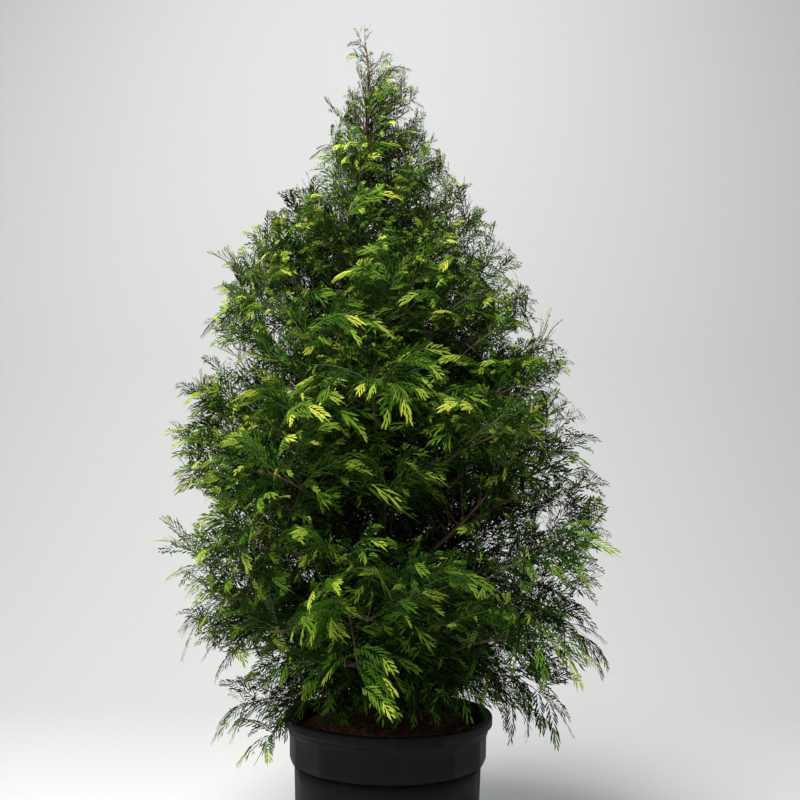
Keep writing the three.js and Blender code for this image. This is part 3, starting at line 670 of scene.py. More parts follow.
CHARACTERS = {
    "skirt_1": dict(tip=0.690, reach=0.92, turn=345),
    "skirt_4": dict(tip=0.300, reach=0.62, turn=196),
    "skirt_5": dict(tip=0.640, reach=0.82, turn=240),
    "skirt_6": dict(tip=0.660, reach=0.65, turn=288),
    "middle_1": dict(tip=1.000, reach=0.96, turn=312),
    "middle_4": dict(tip=0.990, reach=1.0, turn=170),
    "high_1": dict(tip=1.210, reach=0.88, turn=355),
    "shoulder_1": dict(tip=1.430, reach=0.62, turn=350),
    "shoulder_2": dict(tip=1.545, reach=0.42, turn=50),
    "shoulder_3": dict(tip=1.520, reach=0.5, turn=140),
    "shoulder_4": dict(tip=1.390, reach=0.8, turn=190),
    "shoulder_5": dict(tip=1.440, reach=0.5, turn=268),
    "spire_2": dict(tip=1.640, reach=0.09, turn=160),
}
TRUNK_RINGS = 16
RING_SPREAD = 1.5
TURN_JITTER = 7
TIP_JITTER = 0.025
ZIGZAG = 0.045
BOUGH_SHARE = 0.3
STEM_SHARE = 0.6
BOUGH_RADIUS = 0.0065
BOUGH_THICK = (0.55, 0.45)
BOUGH_RINGS = 46
BOUGH_SIDES = 12
BOUGH_SUNK = 0.002
BOUGH_FLARE = 0.45
BOUGH_FLARE_RUN = 0.012
STEM_TIP_RADIUS = 0.0016
CURL = 0.09
ARCH = 0.060
RISE = 0.3
CROWN_LEAN = 0.5
HEART = 0.72
LEADER_HEART = 0.5
LEADER_BEND = (-0.062, 0.0)
LEADER_TIP = (-0.084, 0.002)


def ringed_trunk():
    """The trunk as the source's rings have it, which limbs are planned on."""
    steps = (np.arange(TRUNK_RINGS) / (TRUNK_RINGS - 1)) ** RING_SPREAD
    heights = GROUND + (TRUNK_TIP - GROUND) * steps
    return np.array([trunk_middle(z) for z in heights]), np.array([trunk_radius(z) for z in heights])


TRUNK_LINE = ringed_trunk()


def trunk_at(z):
    points, radii = TRUNK_LINE
    i = 0
    while i < len(points) - 2 and z > points[i + 1][2]:
        i += 1
    t = (z - points[i][2]) / (points[i + 1][2] - points[i][2])
    return points[i] + t * (points[i + 1] - points[i]), radii[i] + t * (radii[i + 1] - radii[i])


def crown_middle(z):
    """The crown's axis, which leans half as much as the trunk."""
    x, y, _ = trunk_at(min(z, TRUNK_TIP))[0] * CROWN_LEAN
    return np.array([x, y, z])


class Limb:
    """A bough and the stem it goes on as: one arched curve that thins from the trunk to its tip."""

    def __init__(self, tier, start, bend, end, out, leave, radius, direct):
        self.tier = tier
        self.curve = (start, bend, end)
        self.out = out
        self.leave = leave
        self.radius = radius
        self.direct = direct

    def at(self, t):
        start, bend, end = self.curve
        return (1 - t) ** 2 * start + 2 * t * (1 - t) * bend + t * t * end

    def heading(self, t):
        start, bend, end = self.curve
        return unit((1 - t) * (bend - start) + t * (end - bend))

    def thickness(self, t):
        return self.radius + (STEM_TIP_RADIUS - self.radius) * t / STEM_SHARE

    def stretch(self, low, high, rings=4):
        steps = np.linspace(low, high, rings)
        return np.array([self.at(t) for t in steps]), np.array([self.thickness(t) for t in steps])

    def stem(self):
        if self.direct:
            return self.stretch(0, STEM_SHARE)
        points, radii = self.stretch(BOUGH_SHARE, STEM_SHARE)
        points[0] += self.heading(BOUGH_SHARE) * CLEAR
        return points, radii

    def heart(self):
        """The middle of the limb's mass, which its own space lies round."""
        return self.at(LEADER_HEART if self.tier is LEADER else HEART)


def plan_limb(tier, foot, turn, tip, reach, curl_share):
    out = np.array([math.cos(turn), math.sin(turn), 0.0])
    beside = np.array([-out[1], out[0], 0.0])
    axis = unit(trunk_at(foot + 0.005)[0] - trunk_at(foot - 0.005)[0])
    leave = unit(out - axis * out.dot(axis))
    middle, radius = trunk_at(foot)
    start = middle + leave * (radius + CLEAR)
    end = crown_middle(tip) + out * reach
    bend = (start + end) / 2
    bend[2] = start[2] + max(ARCH, RISE * (end[2] - start[2]))
    bend = bend + beside * 2 * CURL * reach * curl_share
    direct = tier["name"] == "spire"
    share = BOUGH_THICK[0] + BOUGH_THICK[1] * reach / CROWN_REACH
    thick = TRUNK_TIP_RADIUS if direct else BOUGH_RADIUS * share
    return Limb(tier, start, bend, end, out, leave, thick, direct)


def plan_limbs():
    draw = seeded(SEED)
    limbs = []
    for tier in TIERS:
        for k in range(tier["count"]):
            jitter = [draw() - 0.5 for _ in range(3)]
            own = CHARACTERS.get(f"{tier['name']}_{k + 1}", {})
            turn = own.get("turn", tier["turn"] + 360 * k / tier["count"] + 2 * TURN_JITTER * jitter[0])
            tip = own.get("tip", tier["tip"] + (ZIGZAG if k % 2 else -ZIGZAG) + 2 * TIP_JITTER * jitter[1])
            reach = CROWN_REACH * own.get("reach", tier["reach"])
            foot = tier["foot"] + tier["step"] * ((k * 2) % tier["count"])
            limbs.append(plan_limb(tier, foot, math.radians(turn), tip, reach, jitter[2]))
    start = trunk_at(TRUNK_TIP)[0] + (0, 0, CLEAR)
    bend = np.array([*LEADER_BEND, TRUNK_TIP + 0.55 * (PLANT_TOP - TRUNK_TIP)])
    end = np.array([*LEADER_TIP, PLANT_TOP])
    limbs.append(Limb(LEADER, start, bend, end, np.array([-1.0, 0, 0]), UP, TRUNK_TIP_RADIUS, True))
    return limbs


def make_boughs():
    boughs = Bundle()
    for limb in limbs:
        points, radii = limb.stretch(0, STEM_SHARE, BOUGH_RINGS)
        points[0] -= limb.leave * BOUGH_SUNK
        run = np.linalg.norm(points - points[0], axis=1)
        radii *= 1 + BOUGH_FLARE * np.exp(-run / BOUGH_FLARE_RUN)
        boughs.add_limb(points, radii, BOUGH_SIDES, stringy)
    return boughs.piece("bough_bark")


limbs = plan_limbs()
bough_bark = make_boughs()
bark("bough_bark", (0.17, 0.07, 0.036), (0.23, 0.15, 0.1), 420).on(bough_bark)
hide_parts(*(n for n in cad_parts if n.startswith("bough_")))
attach(bough_bark, "root")


# The twigs. Each mass grows by the source's rule: twigs leave the stem all round, each ends in a flat spray
# and bears another beside it, and what would leave the mass's space or touch the pot or a limb is skipped.
# Growth goes on to sprays in other planes, shoots inside the crown and slender boughs between the main ones.
TWIG_LENGTH = 0.5
TWIG_SPREAD = math.radians(52)
TWIG_DROOP = 0.1
TWIG_RADIUS = 0.0028
TWIG_SHRINK = 0.07
TWIG_UNEVEN = 0.3
TWIG_TAPER = 0.35
TWIG_TURN_UNEVEN = 1.1
TWIG_SPREAD_UNEVEN = 0.35
TWIG_BACK = 0.2
TEETH_FROM = 0.1
TEETH_SHARE = 0.84
TOOTH_AHEAD = (0.62, 0.12)
NOTCH_AHEAD = (0.52, 0.1)
NOTCH = 0.4
SPRAY_HALF_WIDTH = 0.36
SPRAY_THICKNESS = 0.012
SPRAY_DROOP = 0.16
SPRAY_SHRINK = 0.06
SPRAY_UNEVEN = 0.16
SPRAY_LEAN = (0.5, 0.2)
SPRAY_FACES = (0.45, 0.9)
SIDE_SHARE = 0.85
SIDE_TURN = (0.62, 0.78)
SPACE_MARGIN = 0.0006
LIMB_MARGIN = 0.006
LIMB_BOX = 0.040
POT_MARGIN = 0.009
SPRAY_APART = 0.012
ROOT_ZONE = 0.026
TRIES = 14
PAIRS = {"leader": 2, "spire": 3}
MOST_PAIRS = 4
SHARED_LIMB = -1
NO_LIMB = -2
FINER_SPRAYS = 2
FINER_SHARE = (0.5, 0.75)
FINER_TILT = (-0.65, 0.75)
INNER_SHOOTS = 12
INNER_SHARE = (0.38, 0.6)
FINER_TRIES = 6
FINER_SHRINK = 0.08
FINER_SWAY = (0.3, -0.3)
INNER_SWAY = (0.5, -0.3)
SLENDER_SWAY = 0.5
SWAY_GROWTH = 0.15
FACE_TURN = math.radians(200)
FACE_UP = 0.35
LIFT = 0.4
NOD = 0.35
LIFT_SHARES = ((0.42, 0.75), (0.3, 1.0))
FRONT_LIFT = 0.24
HANG_ASIDE = (0.16, 0.27)
HANG_HEIGHT = (POT_HEIGHT + 0.006, 0.27)
CROWN_HEIGHTS = (0.25, 0.35, 0.43, 0.5, 0.7, 0.85, 0.95, 1.1, 1.2, 1.36, 1.45, 1.54, 1.63, 1.72, 1.87)
CROWN_EDGES = (0.24, 0.30, 0.35, 0.39, 0.455, 0.48, 0.46, 0.40, 0.36, 0.30, 0.25, 0.17, 0.115, 0.08, 0.03)
PAST_CROWN = 1.04
SLENDER_BOUGHS = 300
SLENDER_FEET = (0.41, 1.70)
SLENDER_CROWDING = 1.25
SLENDER_REACH = (0.45, 1.02)
SLENDER_RISE = ((0.41, 0.8), (0.0, 0.3))
SLENDER_STEP = 0.0225
SLENDER_SPRAYS = ((0.04, 0.2, 0.45), (0.065, 0.108, 0.14))
SLENDER_LIFTS = ((0.45, 0.7, 1.25, 1.5), (-0.5, 0.1, 0.1, 0.8))
SLENDER_PAST_CROWN = 1.02
SPRAY_TURN = math.radians(58)
FOOT_BOUGHS = 60
FOOT_FEET = (0.415, 0.49)
FOOT_REACH = 0.5
SHOOT_RADII = (0.0017, 0.0011)
SHOOT_RINGS = 6
SHOOT_SIDES = 5
SLENDER_RADIUS = 0.0026
SLENDER_TIP_RADIUS = 0.001
SLENDER_RINGS = 9
SLENDER_SIDES = 4
RIB_RADIUS = 0.0009
RIB_TIP_RADIUS = 0.0005
RIB_SHARE = 0.8
CUT_RIB_SHARE = 0.4
RIB_RINGS = 5
RIB_SIDES = 3


def within(ends, share):
    """The value at a share of the way between two ends."""
    return ends[0] + (ends[1] - ends[0]) * share


def uneven(draw, spread):
    return 1 - spread / 2 + spread * draw()


def between(a, b, steps):
    return [a + (b - a) * (i + 1) / steps for i in range(steps)]


class Spray:
    """One flat spray: where it starts, the way its rib runs, the way its face looks, and its length."""

    def __init__(self, base, heading, face, size, kind):
        self.base = base
        self.heading = heading
        self.face = face
        self.size = size
        self.kind = kind
        self.beside = np.cross(face, heading)

    def surface(self, x, y, z):
        """Points of the spray's bent plane, x along its rib."""
        x, y, z = (np.asarray(v, float)[..., None] for v in (x, y, z))
        z = z - SPRAY_DROOP * x * x / self.size
        return self.base + self.heading * x + self.beside * y + self.face * z

    def samples(self, pairs):
        """Points of the source's toothed blade that have to lie free."""
        length = self.size
        pitch = TEETH_SHARE * length / pairs
        flat = []
        for k in range(pairs):
            x = TEETH_FROM * length + pitch * (k + 0.35)
            wide = length * SPRAY_HALF_WIDTH * math.sin(math.pi * (0.34 + 0.5 * k / (pairs - 1)))
            flat.append((x, 0, length * SPRAY_THICKNESS))
            for way in (1, -1):
                flat.append((x + pitch * (TOOTH_AHEAD[0] + TOOTH_AHEAD[1] * way), way * wide, 0))
                flat.append((x + pitch * (NOTCH_AHEAD[0] + NOTCH_AHEAD[1] * way), way * wide * NOTCH, 0))
        flat.append((length, 0, 0))
        points = self.surface(*np.array(flat).T)
        samples = [*points, *between(self.base, points[-1], 10)]
        for rib in range(0, len(points) - 1, 5):
            samples += between(points[rib], points[rib + 1], 3) + between(points[rib], points[rib + 3], 3)
        return np.array(samples)


class Room:
    """The tests of growth: inside a mass's own space, and off the pot, other limbs and its own sprays."""

    def __init__(self, limbs):
        self.hearts = np.array([limb.heart() for limb in limbs])
        rows = []
        lines = [(*TRUNK_LINE, SHARED_LIMB)]
        lines += [(*limb.stretch(0, BOUGH_SHARE), SHARED_LIMB) for limb in limbs if not limb.direct]
        lines += [(*limb.stem(), own) for own, limb in enumerate(limbs)]
        for points, radii, own in lines:
            low, high = points.min(0) - LIMB_BOX, points.max(0) + LIMB_BOX
            for i in range(len(points) - 1):
                keep = max(radii[i], radii[i + 1]) + LIMB_MARGIN
                rows.append([*points[i], *(points[i + 1] - points[i]), *low, *high, keep, own])
        self.rows = np.array(rows)

    def in_space(self, points, own, girth=0.0):
        mine = self.hearts[own]
        others = np.delete(self.hearts, own, 0)
        apart = np.linalg.norm(others - mine, axis=1)
        far = ((points[:, None] - others) ** 2).sum(2) - ((points - mine) ** 2).sum(1)[:, None]
        return bool((far / (2 * apart) > SPACE_MARGIN + girth).all())

    def off_pot(self, points):
        beside = np.hypot(points[:, 0], points[:, 1]) > LIP + POT_MARGIN
        return bool((beside | (points[:, 2] > POT_HEIGHT + POT_MARGIN)).all())

    def off_limbs(self, points, own):
        rows = self.rows[self.rows[:, 13] != own]
        a, ab, low, high, keep = rows[:, :3], rows[:, 3:6], rows[:, 6:9], rows[:, 9:12], rows[:, 12]
        off = points[:, None] - a
        t = np.clip((off * ab).sum(2) / (ab * ab).sum(1), 0, 1)
        near = np.linalg.norm(off - t[..., None] * ab, axis=2) < keep
        boxed = ((points[:, None] >= low) & (points[:, None] <= high)).all(2)
        return not bool((near & boxed).any())

    def off_sprays(self, points, root, taken):
        rest = points[np.linalg.norm(points - root, axis=1) >= ROOT_ZONE]
        if not len(rest):
            return True
        return bool((((rest[:, None] - taken) ** 2).sum(2) > SPRAY_APART ** 2).all())


def outward(p):
    away = p - crown_middle(p[2])
    away[2] = 0
    return unit(away)


class Mass:
    """A mass of foliage as the source grows it, by the same draws and the same tests."""

    def __init__(self, limb, own, room):
        self.limb = limb
        self.own = own
        self.room = room
        self.length = limb.tier["spray"]
        self.draw = seeded(SEED + 101 * own)
        self.stem = limb.stem()[0]
        self.taken = [p for a, b in zip(self.stem, self.stem[1:]) for p in between(a, b, 4)]
        self.sprays = []
        self.twigs = []
        self.bear_spray(self.stem[-1], unit(self.stem[-1] - self.stem[-2]), self.length, "end")
        for j in range(limb.tier["twigs"]):
            self.bear_twig(j)

    def fits(self, root, samples, girth=0.0):
        return (self.room.in_space(samples, self.own, girth) and self.room.off_pot(samples)
                and self.room.off_limbs(samples, self.own)
                and self.room.off_sprays(samples, root, np.array(self.taken)))

    def try_spray(self, base, along, length, n, kind):
        size = length * (1 - SPRAY_SHRINK * n) * uneven(self.draw, SPRAY_UNEVEN)
        lean = np.array([self.draw() - 0.5 for _ in range(3)]) * (SPRAY_LEAN[0] + SPRAY_LEAN[1] * n)
        heading = unit(along + 0.5 * lean)
        face = SPRAY_FACES[0] * UP + SPRAY_FACES[1] * outward(base) + lean
        spray = Spray(base, heading, unit(face - heading * face.dot(heading)), size, kind)
        samples = spray.samples(PAIRS.get(self.limb.tier["name"], MOST_PAIRS))
        return spray, samples, self.fits(base, samples)

    def keep_spray(self, spray, samples):
        self.sprays.append(spray)
        self.taken.extend(samples)

    def bear_spray(self, base, along, length, kind):
        for n in range(TRIES):
            spray, samples, good = self.try_spray(base, along, length, n, kind)
            if good:
                self.keep_spray(spray, samples)
                return

    def twig_place(self, j):
        """Where a twig leaves the stem, the ways along and square to it there, and the share of the stem."""
        last = len(self.stem) - 1
        u = (j + 0.25) / self.limb.tier["twigs"] * last
        i = min(int(u), last - 1)
        step = self.stem[i + 1] - self.stem[i]
        along = unit(step)
        over = UP - TWIG_BACK * self.limb.out
        over = unit(over - along * over.dot(along))
        return self.stem[i] + step * (u - i), along, over, np.cross(along, over), u / last

    def try_twig(self, j, n, place):
        root, along, over, beside, share = place
        turn = j * GOLDEN + (self.draw() - 0.5) * TWIG_TURN_UNEVEN
        spread = TWIG_SPREAD + (self.draw() - 0.5) * TWIG_SPREAD_UNEVEN
        shorter = (1 - TWIG_TAPER * share) * uneven(self.draw, TWIG_UNEVEN) * (1 - TWIG_SHRINK * n)
        length = self.length * TWIG_LENGTH * shorter
        aside = over * math.cos(turn) + beside * math.sin(turn)
        heading = along * math.cos(spread) + aside * math.sin(spread)
        middle = root + heading * length / 2
        end = root + heading * length - UP * TWIG_DROOP * length
        samples = np.array(between(root, middle, 4) + between(middle, end, 4))
        return middle, end, samples, self.fits(root, samples, TWIG_RADIUS)

    def bear_twig(self, j):
        place = self.twig_place(j)
        for n in range(TRIES):
            middle, end, samples, good = self.try_twig(j, n, place)
            if not good:
                continue
            away = unit(end - middle)
            spray, blade, good = self.try_spray(end, away, self.length, n, "end")
            if not good:
                continue
            self.twigs.append((place[0], middle, end))
            self.taken.extend(samples)
            self.keep_spray(spray, blade)
            hand = 1 if j % 2 else -1
            aside = unit(away * SIDE_TURN[0] + unit(np.cross(UP, away)) * hand * SIDE_TURN[1])
            self.bear_spray(middle, aside, self.length * SIDE_SHARE, "side")
            return


def crown_edge(z):
    """How far the crown's outline lies from its axis at a height."""
    return float(np.interp(z, CROWN_HEIGHTS, CROWN_EDGES))


def depth_in_crown(point):
    """How far out a point lies, from 0 at the crown's middle to 1 at its outline."""
    return np.linalg.norm((point - crown_middle(point[2]))[:2]) / crown_edge(point[2])


def free_face(base, heading, draw):
    """A face turned any way but down, so that some sprays stand on edge and others lie open."""
    out = outward(base)
    turn = (draw() - 0.5) * FACE_TURN
    face = FACE_UP * UP + out * math.cos(turn) + np.cross(UP, out) * math.sin(turn)
    return unit(face - heading * face.dot(heading))


def nodded(spray, points):
    """Points of a spray, arched: it lifts from its base and nods at its tip, and less so low down."""
    run = np.linalg.norm(points - spray.base, axis=-1, keepdims=True)
    return points + UP * run * np.interp(spray.base[2], *LIFT_SHARES) * (LIFT - NOD * run / spray.size)


def tips_of(spray):
    """Points along a spray's rib and at its two sides."""
    reach = spray.size * np.array([0.35, 0.7, 1.0, 0.6, 0.6])
    wide = spray.size * SPRAY_HALF_WIDTH * np.array([0, 0, 0, 0.8, -0.8])
    return nodded(spray, spray.surface(reach, wide, np.zeros(5)))


def hangs_free(tips, lift=0.0):
    """Fronds hang below the rim beside the pot but not before it, where lift keeps them higher far out."""
    rise = lift * np.maximum(-tips[:, 1] - LIP, 0)
    return bool((tips[:, 2] - rise > np.interp(np.abs(tips[:, 0]), HANG_ASIDE, HANG_HEIGHT)).all())


def swayed_spray(base, along, size, kind, sway, draw, held):
    """A spray that sways from its way, tried a little shorter each time until it is held; or none."""
    spread, rise = sway
    for n in range(FINER_TRIES):
        swing = np.array([draw() - 0.5, draw() - 0.5, draw() + rise]) * (spread + SWAY_GROWTH * n)
        heading = unit(along + swing)
        face = free_face(base, heading, draw)
        spray = Spray(base, heading, face, size * (1 - FINER_SHRINK * n), kind)
        if held(tips_of(spray)):
            return spray
    return None


def in_crown(tips, room, edge):
    """Whether a spray's tips keep inside the crown, off the pot and clear of its rim."""
    return max(depth_in_crown(p) for p in tips) < edge and room.off_pot(tips) and hangs_free(tips)


def finer_growth(limb, own, room, sprays):
    """Finer growth in the source's mass: sprays in other planes on each rib, and shoots inside the crown."""
    draw = seeded(SEED + 977 * own + 5)
    stem = limb.stem()[0]
    more, twigs = [], []

    def held(tips):
        return room.in_space(tips, own) and room.off_limbs(tips, own) and in_crown(tips, room, PAST_CROWN)

    for spray in sprays:
        for k in range(FINER_SPRAYS):
            base = spray.surface(spray.size * (0.02 + 0.24 * k + 0.12 * draw()), 0, 0)
            lift = spray.face * FINER_TILT[k % 2] + spray.beside * (draw() - 0.5)
            size = spray.size * within(FINER_SHARE, draw())
            along = unit(spray.heading + lift * 0.9)
            more.append(swayed_spray(base, along, size, "finer", FINER_SWAY, draw, held))
    for k in range(INNER_SHOOTS):
        u = draw() * (len(stem) - 1)
        i = min(int(u), len(stem) - 2)
        root = stem[i] + (stem[i + 1] - stem[i]) * (u - i)
        along = unit(stem[i + 1] - stem[i])
        side = unit(np.cross(along, UP + 0.3 * limb.out))
        turn = k * GOLDEN + draw()
        heading = unit(0.45 * along + math.cos(turn) * side + math.sin(turn) * np.cross(side, along))
        size = limb.tier["spray"] * within(INNER_SHARE, draw())
        end = root + heading * size * 0.35
        spray = swayed_spray(end, heading, size, "inner", INNER_SWAY, draw, held)
        if spray:
            more.append(spray)
            twigs.append((root, (root + end) / 2, end))
    return [spray for spray in more if spray], twigs


def slender_boughs(room):
    """Slight boughs between the main ones, all the way up the trunk, and short level ones at its foot."""
    draw = seeded(SEED + 4021)
    sprays, boughs = [], []
    for k in range(SLENDER_BOUGHS + FOOT_BOUGHS):
        foot = within(SLENDER_FEET, ((k + draw()) / SLENDER_BOUGHS) ** SLENDER_CROWDING)
        level = k >= SLENDER_BOUGHS
        if level:
            foot = within(FOOT_FEET, draw())
        turn = k * GOLDEN + 0.5 * (draw() - 0.5)
        out = np.array([math.cos(turn), math.sin(turn), 0.0])
        reach = within(SLENDER_REACH, draw() ** 0.6) * crown_edge(foot + 0.12)
        if level:
            reach *= FOOT_REACH
        climb = 0.5 * draw()
        rise = reach * float(np.interp(foot, *SLENDER_RISE))
        if not level:
            rise += reach * climb + 0.02
        top = min(foot + rise, PLANT_TOP - 0.08)
        middle, radius = trunk_at(min(foot, TRUNK_TIP))
        start = middle + out * radius * 0.8
        end = crown_middle(top) + out * reach * 0.9
        bend = start + 0.55 * (end - start) + UP * 0.12 * reach
        limb = Limb({"name": "slender"}, start, bend, end, out, out, SLENDER_RADIUS, False)
        grown = bear_along(limb, reach, room, draw)
        if grown:
            boughs.append(limb)
            sprays += grown
    return sprays, boughs


def bear_along(limb, reach, room, draw):
    """Sprays beside a slight bough and at its end, each tried a little shorter until it has room."""
    grown = []

    def held(tips):
        return in_crown(tips, room, SLENDER_PAST_CROWN) and room.off_limbs(tips[1:], NO_LIMB)

    length = float(np.linalg.norm(limb.at(1.0) - limb.at(0.0)))
    count = max(2, int(0.8 * length / SLENDER_STEP))
    for j in range(count + 1):
        t = 0.2 + 0.8 * j / count
        base = limb.at(t)
        along = limb.heading(t)
        flat = unit(np.cross(UP, along))
        hand = 0 if j == count else (1 if j % 2 else -1)
        aside = along * math.cos(SPRAY_TURN * abs(hand)) + flat * hand * math.sin(SPRAY_TURN)
        size = float(np.interp(reach, *SLENDER_SPRAYS)) * (0.8 + 0.4 * draw())
        lift = float(np.interp(base[2], *SLENDER_LIFTS))
        spray = swayed_spray(base, aside, size, "finer", (SLENDER_SWAY, lift), draw, held)
        if spray:
            grown.append(spray)
            limb.bare_from = t
    return grown


def grow_crown():
    """Every spray of the plant, the twigs and shoots that bear them, and the slender boughs."""
    room = Room(limbs)
    sprays, twigs = [], []
    for own, limb in enumerate(limbs):
        mass = Mass(limb, own, room)
        finer, inner = finer_growth(limb, own, room, mass.sprays)
        sprays += mass.sprays + finer
        twigs += mass.twigs + inner
    more, slender = slender_boughs(room)
    return sprays + more, twigs, slender


def make_twigs(sprays, twigs, slender):
    woody, green = Bundle(), Bundle()
    for root, middle, end in twigs:
        steps = np.linspace(0, 1, SHOOT_RINGS)[:, None]
        points = (1 - steps) ** 2 * root + 2 * steps * (1 - steps) * middle + steps ** 2 * end
        woody.add_limb(points, np.linspace(*SHOOT_RADII, SHOOT_RINGS), SHOOT_SIDES)
    for limb in slender:
        points = limb.stretch(0, limb.bare_from, SLENDER_RINGS)[0]
        woody.add_limb(points, np.linspace(SLENDER_RADIUS, SLENDER_TIP_RADIUS, SLENDER_RINGS), SLENDER_SIDES)
    for spray in sprays:
        thick = RIB_RADIUS * min(1.0, spray.size / 0.15) + 0.0002
        share = RIB_SHARE if hangs_free(tips_of(spray), FRONT_LIFT) else CUT_RIB_SHARE
        x = np.linspace(0, share, RIB_RINGS) * spray.size
        points = nodded(spray, spray.surface(x, 0 * x, 0 * x))
        bundle = woody if spray.kind in ("end", "inner") else green
        bundle.add_limb(points, np.linspace(thick, RIB_TIP_RADIUS, RIB_RINGS), RIB_SIDES)
    return woody.piece("twigs_brown"), green.piece("twigs_green")


crown_sprays, crown_twigs, crown_boughs = grow_crown()
brown, green = make_twigs(crown_sprays, crown_twigs, crown_boughs)
bark("twig_brown", (0.12, 0.045, 0.02), (0.09, 0.055, 0.03), 500).on(brown)
bark("twig_green", (0.07, 0.075, 0.018), (0.045, 0.07, 0.014), 500).on(green)
masses = [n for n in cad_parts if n.startswith("foliage_")]
for piece in (brown, green):
    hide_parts(*masses)
    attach(piece, "root")


# The fronds, flat and fern-like: side shoots leave a rib by turns, and the longer ones bear shoots of their
# own, all clad in scale leaves pressed flat. New growth is yellow-green at the tips and older fronds are
# dark. The tints also carry painted light, brighter at the crown's outside, its top and its left side, and
# painted shade, darker low down and deep inside.
FROND_WIDTH = 0.0028
SHORT_FROND = dict(seed=300, shoots=6, nominal=0.048, side=0.27)
MIDDLE_FROND = dict(seed=400, shoots=8, nominal=0.072, side=0.27)
LONG_FROND = dict(seed=500, shoots=10, nominal=0.098, side=0.25)
GREAT_FROND = dict(seed=600, shoots=14, nominal=0.13, side=0.21)
INNER_FROND = dict(seed=700, shoots=7, nominal=0.086, side=0.27, stages=((0.55, 1.15),))
FROND_STEPS = (0.062, 0.087, 0.112)
INNER_DEPTH = 0.66
PATTERNS = 6
NEW_GROWTH = 0.66
SHOOTS_FROM = 0.04
SHOOTS_SHARE = 0.88
SHOOT_BEND = 0.16
SHOOT_DROOP = 0.18
FORKED_LENGTH = 0.019
FORKS = ((0.5, 1), (0.68, -1))
FORK_TURN = math.radians(40)
FROND_LIFT = 0.26
FROND_NOD = 0.38
FROND_ROLL = 1.3
FROND_PITCH = 0.7
FROND_DROOP = 0.25
SMALL_SPRAY = 0.1
LONGEST_SIDE_FROND = 0.1
# Leaf tints from dark to light. Besides the colours of older and newer growth, the darker ones carry painted
# shade and the lighter ones painted light, dealt by where a frond sits in the crown.
TINTS = {
    "shade": (0.0035, 0.013, 0.0008),
    "old": (0.010, 0.033, 0.0015),
    "mid": (0.030, 0.082, 0.003),
    "fresh": (0.085, 0.168, 0.012),
    "bright": (0.2, 0.285, 0.03),
    "tip": (0.36, 0.41, 0.05),
}
TINT_STEPS = (0.42, 0.62, 0.84, 1.04, 1.2)
# How a tint is dealt. Painted light: brighter at the crown's outside (EDGE_LIGHT), at the top (TOP_LIGHT) and
# on the left side (SUNNY_SIDE). Painted shade: darker low down (LOW_SHADE) and on inner shoots (KIND_LIGHT).
# Freshness along a spray, chance and the new tip of each frond (NEW_LIGHT) follow the fronds' own growth.
KIND_LIGHT = {"end": 0.12, "side": 0.06, "finer": 0.03, "inner": -0.12}
EDGE_LIGHT = 0.6
FRESH_LIGHT = 0.3
CHANCE_LIGHT = 0.44
LOW_SHADE = 0.5
LOW_HEIGHT = 0.85
TOP_LIGHT = 0.45
TOP_HEIGHT = 1.2
LIGHT_START = -0.07
NEW_LIGHT = 0.4
SUNNY_SIDE = 2.6
LEAF_PIECE_LIMIT = 190000


def add_shoot(part, root, turn, length, wide, roll, stages):
    """A flat blunt strip of scale leaves in the frond's plane, rolled a little about its own axis."""
    points, faces = part
    bend = SHOOT_BEND * (1 if turn < 0 else -1)
    first = len(points)
    across = np.array([-math.sin(turn) * math.cos(roll), math.cos(turn) * math.cos(roll), math.sin(roll)])
    points.append(root)
    for share, width in stages:
        way = turn + bend * share
        middle = root + length * share * np.array([math.cos(way), math.sin(way), -SHOOT_DROOP * share])
        points.extend([middle - across * wide * width / 2, middle + across * wide * width / 2])
    way = turn + bend
    points.append(root + length * np.array([math.cos(way), math.sin(way), -SHOOT_DROOP]))
    last = len(points) - 1
    faces.append((first, first + 1, first + 2))
    for a in range(first + 1, last - 2, 2):
        faces.extend([(a, a + 2, a + 3), (a, a + 3, a + 1)])
    faces.append((last - 2, last, last - 1))


def frond_pattern(number, seed, shoots, nominal, side, stages=((0.3, 0.8), (0.78, 1.0))):
    """One frond a unit long in two parts, its older foot and its new tip: a rib, and side shoots by turns."""
    draw = seeded(seed + number)
    wide = FROND_WIDTH / nominal
    foot, tip = ([], []), ([], [])
    rib = wide * 0.8
    add_shoot(foot, np.zeros(3), 0.0, NEW_GROWTH, rib, 0.0, ((0.5, 0.8), (0.95, 0.9)))
    add_shoot(tip, np.array([NEW_GROWTH, 0, 0]), 0.0, 1 - NEW_GROWTH, rib, 0.0, ((0.1, 0.9), (0.7, 0.9)))
    for k in range(2 * shoots):
        hand = 1 if k % 2 else -1
        u = (k + 0.8) / (2 * shoots)
        root = np.array([SHOOTS_FROM + SHOOTS_SHARE * u, 0.0, 0.0])
        part = tip if root[0] > NEW_GROWTH else foot
        way = hand * math.radians(50 - 14 * u + 10 * (draw() - 0.5))
        length = side * math.sin(math.pi * (0.18 + 0.72 * u)) ** 0.8 * (0.6 + 0.6 * draw())
        roll = 0.6 * (draw() - 0.5) + 0.3 * hand
        add_shoot(part, root, way, length, wide, roll, stages)
        if length * nominal < FORKED_LENGTH:
            continue
        for s, aside in FORKS[: 1 + (draw() < 0.3)]:
            start = root + length * s * np.array([math.cos(way), math.sin(way), -0.1 * s])
            reach = length * (0.5 - 0.25 * s) * (0.8 + 0.4 * draw())
            turned = roll + 0.5 * (draw() - 0.5)
            add_shoot(part, start, way - hand * aside * FORK_TURN, reach, wide * 0.85, turned, ((0.55, 1.0),))
    return [(np.array(points), np.array(faces)) for points, faces in (foot, tip)]


